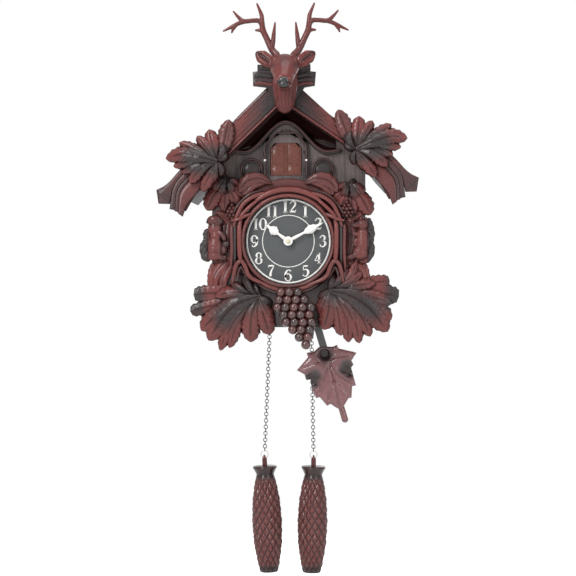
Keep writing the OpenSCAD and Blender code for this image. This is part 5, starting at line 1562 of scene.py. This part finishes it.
PIN_HEIGHT = 140
CONE_PROFILE = [(0, 10.5), (12, 13.2), (35, 17), (62, 18), (88, 16.6), (112, 12.6),
                (120, 10.6), (124, 12.5), (128, 14.8), (130, 14.2)]


def weight(s):
    """Fir-cone weight: a turned body whose skin is raised in staggered diamond scales with
    their tips down, a flared cap and an eyelet post."""
    pin = joint_place(of_side("weight", s) + "_swing")
    lean = math.radians(-2.4 if s < 0 else 1.0)
    heights = np.concatenate([np.linspace(0.6, 119, 330), np.linspace(119.5, 130, 22)])
    radius = np.interp(heights, *np.array(CONE_PROFILE, float).T)
    h, a = np.meshgrid(heights, full_turn(176), indexing="ij")
    around, tall = 12, 13.5
    turns, climb = a / (2 * np.pi) * around, (h - 4) / tall
    first, second = (turns + climb) % 1 - 0.5, (turns - climb) % 1 - 0.5
    middle = 1 - 2 * np.maximum(np.abs(first), np.abs(second))
    tip = smooth(0.9, -0.9, first - second)
    rise = np.sin(np.pi / 2 * middle) ** 0.8 * (0.65 + 0.35 * tip)
    live = smooth(-2, 5, h) * (1 - smooth(108, 118, h))
    depth = bpy.context.scene.clock_carving.scale_rise
    size = radius[:, None] + live * (1.0 - depth * (1 - rise))
    local = points(size * np.cos(a), size * np.sin(a), h - PIN_HEIGHT)
    smoke = np.clip(0.85 * smooth(108, 118, h) + (1 - smooth(4, 14, h)) * 0.9, 0, 1)
    # Staining and painted shade in the lines between the scales; painted shade under the cap's flare.
    groove = 0.9 * live * (1 - smooth(0.0, 0.3, middle))
    groove = groove + 0.55 * smooth(117, 119.5, h) * (1 - smooth(121, 124, h))
    skins = [skin(lean_over(local, lean) + pin, smoke, groove)]
    post = np.array([(0, 0, -12), (0, 0, -6), (0, 0, 1.2)], float)
    skins.append(tube(spline(lean_over(post, lean) + pin, 24), 3.0, 20, smoke=0.3))
    turn = full_turn(48)
    eye = lean_over(points(0, np.cos(turn), np.sin(turn)), lean)
    skins.append(closed_tube(pin + 2.6 * eye, 1.3 * eye, np.array([[1.3, 0, 0]]), 12))
    return skins


def lean_over(local, lean):
    """Turns places about the y axis by the lean."""
    c, s = math.cos(lean), math.sin(lean)
    x, y, z = np.moveaxis(local, -1, 0)
    return points(x * c + z * s, y, z * c - x * s)


# ---- bird

def bird():
    """Little cuckoo on its perch: fused body, head, wings, tail and legs, and an open beak."""
    low = corners("bird")[0]
    foot = np.array([DOOR_X, low[1] + 14.1, low[2]])
    skins = [ball(foot + spot, size, 16, 24) for spot, size in (
        ((0, 4.5, 9), (5.0, 8.0, 5.4)), ((0, -1, 12), (4.9, 5.6, 5.0)),
        ((0, -6.6, 16.4), (4.2, 4.6, 4.3)))]
    skins.append(tube(foot + spline([(0, 8, 10), (0, 13, 12.4), (0, 19.6, 15)], 20),
                      np.linspace(3.2, 2.4, 20), 18, flat=0.45, side_first=(0, 0, 1)))
    skins += [ball(foot + (s * 4.4, 4.5, 10), (1.3, 7.6, 3.6), 12, 18) for s in (-1, 1)]
    skins += [tube(foot + spline([(s * 2, 0.5, 7), (s * 2, 0, 3), (s * 2, -0.4, 0.2)], 12), 0.75,
                   12) for s in (-1, 1)]

    def push(place, normal):
        x, y, z = (place - foot).T
        return 0.12 * np.sin(y * 2.6 + z) * smooth(3.6, 4.8, np.abs(x)) * smooth(5, 7, z)

    def shading(place, normal):
        x, y, z = (place - foot).T
        wing = smooth(3.4, 4.6, np.abs(x)) * smooth(5, 7, z) * smooth(-4, -1, y)
        return 0.8 * wing + 0.6 * smooth(8, 16, y), 0.35 * wing * (np.sin(y * 2.6 + z) < -0.4)

    mesh = melted("bird", skins, 0.4, 4, shading, push)
    beak = [tube(foot + spline([(0, -10, 16.3 + k * 0.5), (0, -12, 16.2 + k * 0.9),
                                (0, -13.8, 16.0 + k * 1.5)], 16), np.linspace(1.1, 0.3, 16), 12)
            for k in (-1, 1)]
    eyes = [ball(foot + (s * 3.2, -8.9, 17.6), 0.8, 8, 14) for s in (-1, 1)]
    return mesh, beak, eyes


# ---- operators

def carve(skins, node, key, name=None, stands_for=True, relief=None):
    """Makes skins one piece in a finish; a mesh is taken as it is. Relief is the depth at which its hollows are
    fully darkened with painted shade."""
    mesh = skins if isinstance(skins, bpy.types.Mesh) else mesh_of(name or node, skins)
    if relief:
        deepen(mesh, relief)
    return piece(name or node + "_carved", mesh, finish_of(key), node, stands_for)


class CUCKOO_OT_roof(bpy.types.Operator):
    """Bargeboards with curled tails, the vine leaves over them and the ridge bracket"""

    bl_idname = "cuckoo.roof"
    bl_label = "Roof"

    def execute(self, context):
        for s, side in SIDES:
            carve(bargeboard(s), "bargeboard_" + side, "carved")
            carve(roof_leaf(s), "roof_leaf_" + side, "carved", relief=2.2)
        carve(ridge_bracket(), "ridge_bracket", "carved")
        dress("dark_boards", "roof_panel_left", "roof_panel_right")
        return {"FINISHED"}


class CUCKOO_OT_stag(bpy.types.Operator):
    """Stag's head with eyes, nose and antlers"""

    bl_idname = "cuckoo.stag"
    bl_label = "Stag"

    def execute(self, context):
        eyes, nose = stag_face()
        carve(stag_head(), "stag_head", "stag")
        carve(eyes, "stag_head", "nose", "stag_eyes", False)
        carve(nose, "stag_head", "nose", "stag_nose", False)
        for s, side in SIDES:
            carve(antler(s), "antler_" + side, "stag")
        return {"FINISHED"}


class CUCKOO_OT_gable(bpy.types.Operator):
    """Ogee moulding, doorway frame with studs, doors, false windows and the leaves below"""

    bl_idname = "cuckoo.gable"
    bl_label = "Gable front"

    def execute(self, context):
        carve(gable_moulding(), "gable_moulding", "bright")
        carve(doorway_frame(), "doorway_frame", "carved")
        carve(door_studs(), "doorway_frame", "white", "door_studs", False)
        carve(window_arches(), "window_arches", "carved")
        carve(sill_leaves(), "sill_leaves", "carved", relief=3.0)
        carve(gable_recess(), "front_board", "carved", "gable_recess", False)
        carve(gable_panel(), "front_board", "front", "gable_panel", False)
        carve(sill_band(), "front_board", "carved", "sill_band", False)
        dress("door", "door_left", "door_right")
        for node in ("door_left", "door_right"):
            carve(door_panels(node), node, "door", node + "_panels", False, 0.6)
        return {"FINISHED"}


class CUCKOO_OT_dial(bpy.types.Operator):
    """Dial plate with rings and numerals, and the two hands"""

    bl_idname = "cuckoo.dial"
    bl_label = "Dial and hands"

    def execute(self, context):
        dress("dial", "dial_plate")
        carve(dial_rings(), "dial_plate", "white", "dial_rings", False)
        carve(numerals(), "dial_plate", "white", "dial_numerals", False)
        hub, cap = hubs()
        carve([hand("hour_hand", 34.5, 143.8, 5.0)], "hour_hand", "white")
        carve([hand("minute_hand", 49.5, 27.7, 4.6), *hub], "minute_hand", "white")
        carve(cap, "minute_hand", "cap", "centre_cap", False)
        return {"FINISHED"}


class CUCKOO_OT_vine_ring(bpy.types.Operator):
    """Ring of crossing vine stems round the dial"""

    bl_idname = "cuckoo.vine_ring"
    bl_label = "Vine ring"

    def execute(self, context):
        carve(dial_frame(), "dial_frame", "bright", relief=2.2)
        return {"FINISHED"}


class CUCKOO_OT_leaves(bpy.types.Operator):
    """Carved leaves at the shoulders and at the foot of the case, and the blades of grass"""

    bl_idname = "cuckoo.leaves"
    bl_label = "Case leaves"

    def execute(self, context):
        for s, side in SIDES:
            carve(shoulder_leaf(s), "shoulder_leaf_" + side, "carved", relief=2.4)
            carve(base_leaf(s), "base_leaf_" + side, "carved", relief=2.2)
        carve(blades(), "front_board", "bright", "grass_blades", False, 2.6)
        return {"FINISHED"}


class CUCKOO_OT_squirrels(bpy.types.Operator):
    """Two squirrels beside the dial"""

    bl_idname = "cuckoo.squirrels"
    bl_label = "Squirrels"

    def execute(self, context):
        for s, side in SIDES:
            node = "squirrel_" + side
            mesh, eyes, nut = squirrel(s)
            carve(mesh, node, "carved", relief=3.0)
            carve(eyes, node, "nose", node + "_eye", False)
            if nut:
                carve(nut, node, "carved", "hazelnut", False)
        return {"FINISHED"}


class CUCKOO_OT_grapes(bpy.types.Operator):
    """Bunch of grapes below the dial"""

    bl_idname = "cuckoo.grapes"
    bl_label = "Grapes"

    def execute(self, context):
        carve(grape_bunch(), "grape_bunch", "grape")
        return {"FINISHED"}


class CUCKOO_OT_pendulum(bpy.types.Operator):
    """Pendulum leaf and its rod"""

    bl_idname = "cuckoo.pendulum"
    bl_label = "Pendulum"

    def execute(self, context):
        carve(pendulum_leaf(), "pendulum_leaf", "pendulum")
        dress("rod", "pendulum_rod")
        return {"FINISHED"}


class CUCKOO_OT_weights(bpy.types.Operator):
    """Fir-cone weights and their chains"""

    bl_idname = "cuckoo.weights"
    bl_label = "Weights and chains"

    def execute(self, context):
        for s, side in SIDES:
            carve(weight(s), "weight_" + side, "cone")
        dress("chain", "chain_left", "chain_right", "chain_hooks")
        return {"FINISHED"}


class CUCKOO_OT_bird(bpy.types.Operator):
    """Painted bird behind the doors"""

    bl_idname = "cuckoo.bird"
    bl_label = "Bird"

    def execute(self, context):
        mesh, beak, eyes = bird()
        carve(mesh, "bird", "feathers", "bird_painted")
        carve(beak, "bird", "red_knob", "bird_beak", False)
        carve(eyes, "bird", "nose", "bird_eyes", False)
        return {"FINISHED"}


CASE_FINISHES = {
    "front": "front_board",
    "boards": "side_wall_left side_wall_right floor_board",
    "dark_boards": "back_board battery_hatch",
    "ebony": "movement_case movement_cover bushing_nut pendulum_drive bird_rail speaker battery_box",
    "acetal": "bird_carriage drive_pinion minute_arbor hour_wheel setting_wheel",
    "steel": "stepper_motor cuckoo_motor case_screws",
    "foil": "clock_battery battery_cells",
    "board_green": "circuit_board",
    "red_knob": "volume_switch"}


class CUCKOO_OT_case(bpy.types.Operator):
    """Finishes of the case boards, the movement, the sound box and the battery bay"""

    bl_idname = "cuckoo.case"
    bl_label = "Case and movement"

    def execute(self, context):
        for key, nodes in CASE_FINISHES.items():
            dress(key, *nodes.split())
        return {"FINISHED"}


def face(obj, place, aim):
    """Puts a lamp or a camera at a place, looking at a point, both in metres."""
    obj.location = place
    obj.rotation_euler = (Vector(aim) - Vector(place)).to_track_quat("-Z", "Y").to_euler()


def lamp(name, place, aim, size, power, colour=(1.0, 1.0, 1.0)):
    """Soft square lamp that faces a point. Places are in metres."""
    light = bpy.data.lights.new(name, "AREA")
    light.shape = "SQUARE"
    light.size = size
    light.energy = power
    light.color = colour
    obj = bpy.data.objects.new(name, light)
    bpy.context.scene.collection.objects.link(obj)
    face(obj, place, aim)


FLOOR_HEIGHT = -0.80
LAMP_AIM = (0.0, -0.06, -0.2)
LAMPS = [("key", (-0.9, -1.5, 1.1), LAMP_AIM, 0.7, 22.0, (1.0, 0.99, 0.97)),
         ("fill", (1.4, -1.7, 0.1), LAMP_AIM, 1.2, 9.0), ("top", (0.1, -0.5, 1.2), LAMP_AIM, 0.8, 6.0),
         ("back", (0.9, 1.8, 0.7), LAMP_AIM, 1.4, 14.0),
         ("glint", (-0.8, -1.7, 0.25), (0.0, -0.06, -0.4), 0.45, 7.0)]


def seen_mask(tree):
    """1 for rays of the camera, of reflections and of see-through parts, 0 for the others."""
    rays = tree.nodes.new("ShaderNodeLightPath").outputs
    return sums(tree, "MAXIMUM", rays["Is Camera Ray"],
                sums(tree, "MAXIMUM", rays["Is Glossy Ray"], rays["Is Transmission Ray"]))


def studio_world(scene):
    """White surround that lights the clock less than it shows."""
    scene.world = bpy.data.worlds.new("Studio")
    scene.world.use_nodes = True
    tree = scene.world.node_tree
    tree.nodes.clear()
    strength = fitted(tree, seen_mask(tree), 0.0, 1.0, STUDIO_LEVEL, 1.0)
    sky = add(tree, "ShaderNodeBackground", Color=(1.0, 1.0, 1.0), Strength=strength)
    add(tree, "ShaderNodeOutputWorld", Surface=sky.outputs[0])


def studio_floor(scene):
    """Pale floor far below the clock, which glows where it is seen so as to match the surround."""
    mesh = bpy.data.meshes.new("studio_floor")
    mesh.from_pydata([(x, y, FLOOR_HEIGHT) for x, y in ((-3, -3), (3, -3), (3, 2), (-3, 2))],
                     [], [(0, 1, 2, 3)])
    floor = bpy.data.objects.new("studio_floor", mesh)
    scene.collection.objects.link(floor)
    material, tree, shader = started("Studio floor")
    surface(tree, shader, (0.86, 0.86, 0.85), 0.9, Emission_Color=(1.0, 1.0, 1.0),
            Emission_Strength=sums(tree, "MULTIPLY", seen_mask(tree), FLOOR_GLOW))
    mesh.materials.append(material)


def studio_camera(scene):
    """Long lens in front of the clock, a little to its right."""
    camera = bpy.data.cameras.new("camera")
    camera.lens, camera.sensor_width = 101.04, 36.0
    scene.camera = bpy.data.objects.new("camera", camera)
    scene.collection.objects.link(scene.camera)
    face(scene.camera, (0.110, -2.0, -0.195), (-0.00096, -0.060, -0.195))
    scene.view_settings.view_transform = "Standard"


class CUCKOO_OT_stage(bpy.types.Operator):
    """Pale floor, white surround, soft lamps and the camera"""

    bl_idname = "cuckoo.stage"
    bl_label = "Stage"

    def execute(self, context):
        studio_world(context.scene)
        studio_floor(context.scene)
        for row in LAMPS:
            lamp(*row)
        studio_camera(context.scene)
        return {"FINISHED"}


OPERATORS = (CUCKOO_OT_roof, CUCKOO_OT_stag, CUCKOO_OT_gable, CUCKOO_OT_dial,
             CUCKOO_OT_vine_ring, CUCKOO_OT_leaves, CUCKOO_OT_squirrels, CUCKOO_OT_grapes,
             CUCKOO_OT_pendulum, CUCKOO_OT_weights, CUCKOO_OT_bird, CUCKOO_OT_case,
             CUCKOO_OT_stage)


class CUCKOO_PT_panel(bpy.types.Panel):
    """Settings and steps of the cuckoo clock"""

    bl_idname = "CUCKOO_PT_panel"
    bl_label = "Cuckoo clock"
    bl_space_type = "VIEW_3D"
    bl_region_type = "UI"
    bl_category = "Cuckoo clock"

    def draw(self, context):
        column = self.layout.column()
        for settings in (context.scene.clock_finish, context.scene.clock_carving):
            for key in settings.bl_rna.properties.keys():
                if key not in ("rna_type", "name"):
                    column.prop(settings, key)
        for operator in OPERATORS:
            column.operator(operator.bl_idname)


CLASSES = (ClockFinish, ClockCarving, *OPERATORS, CUCKOO_PT_panel)


def register():
    """Adds the classes and the settings."""
    for cls in CLASSES:
        bpy.utils.register_class(cls)
    bpy.types.Scene.clock_finish = bpy.props.PointerProperty(type=ClockFinish)
    bpy.types.Scene.clock_carving = bpy.props.PointerProperty(type=ClockCarving)


def unregister():
    """Removes the settings and the classes."""
    del bpy.types.Scene.clock_carving
    del bpy.types.Scene.clock_finish
    for cls in reversed(CLASSES):
        bpy.utils.unregister_class(cls)


def main():
    """Builds the whole clock."""
    register()
    for operator in OPERATORS:
        group, name = operator.bl_idname.split(".")
        getattr(getattr(bpy.ops, group), name)()


if __name__ == "__main__":
    main()
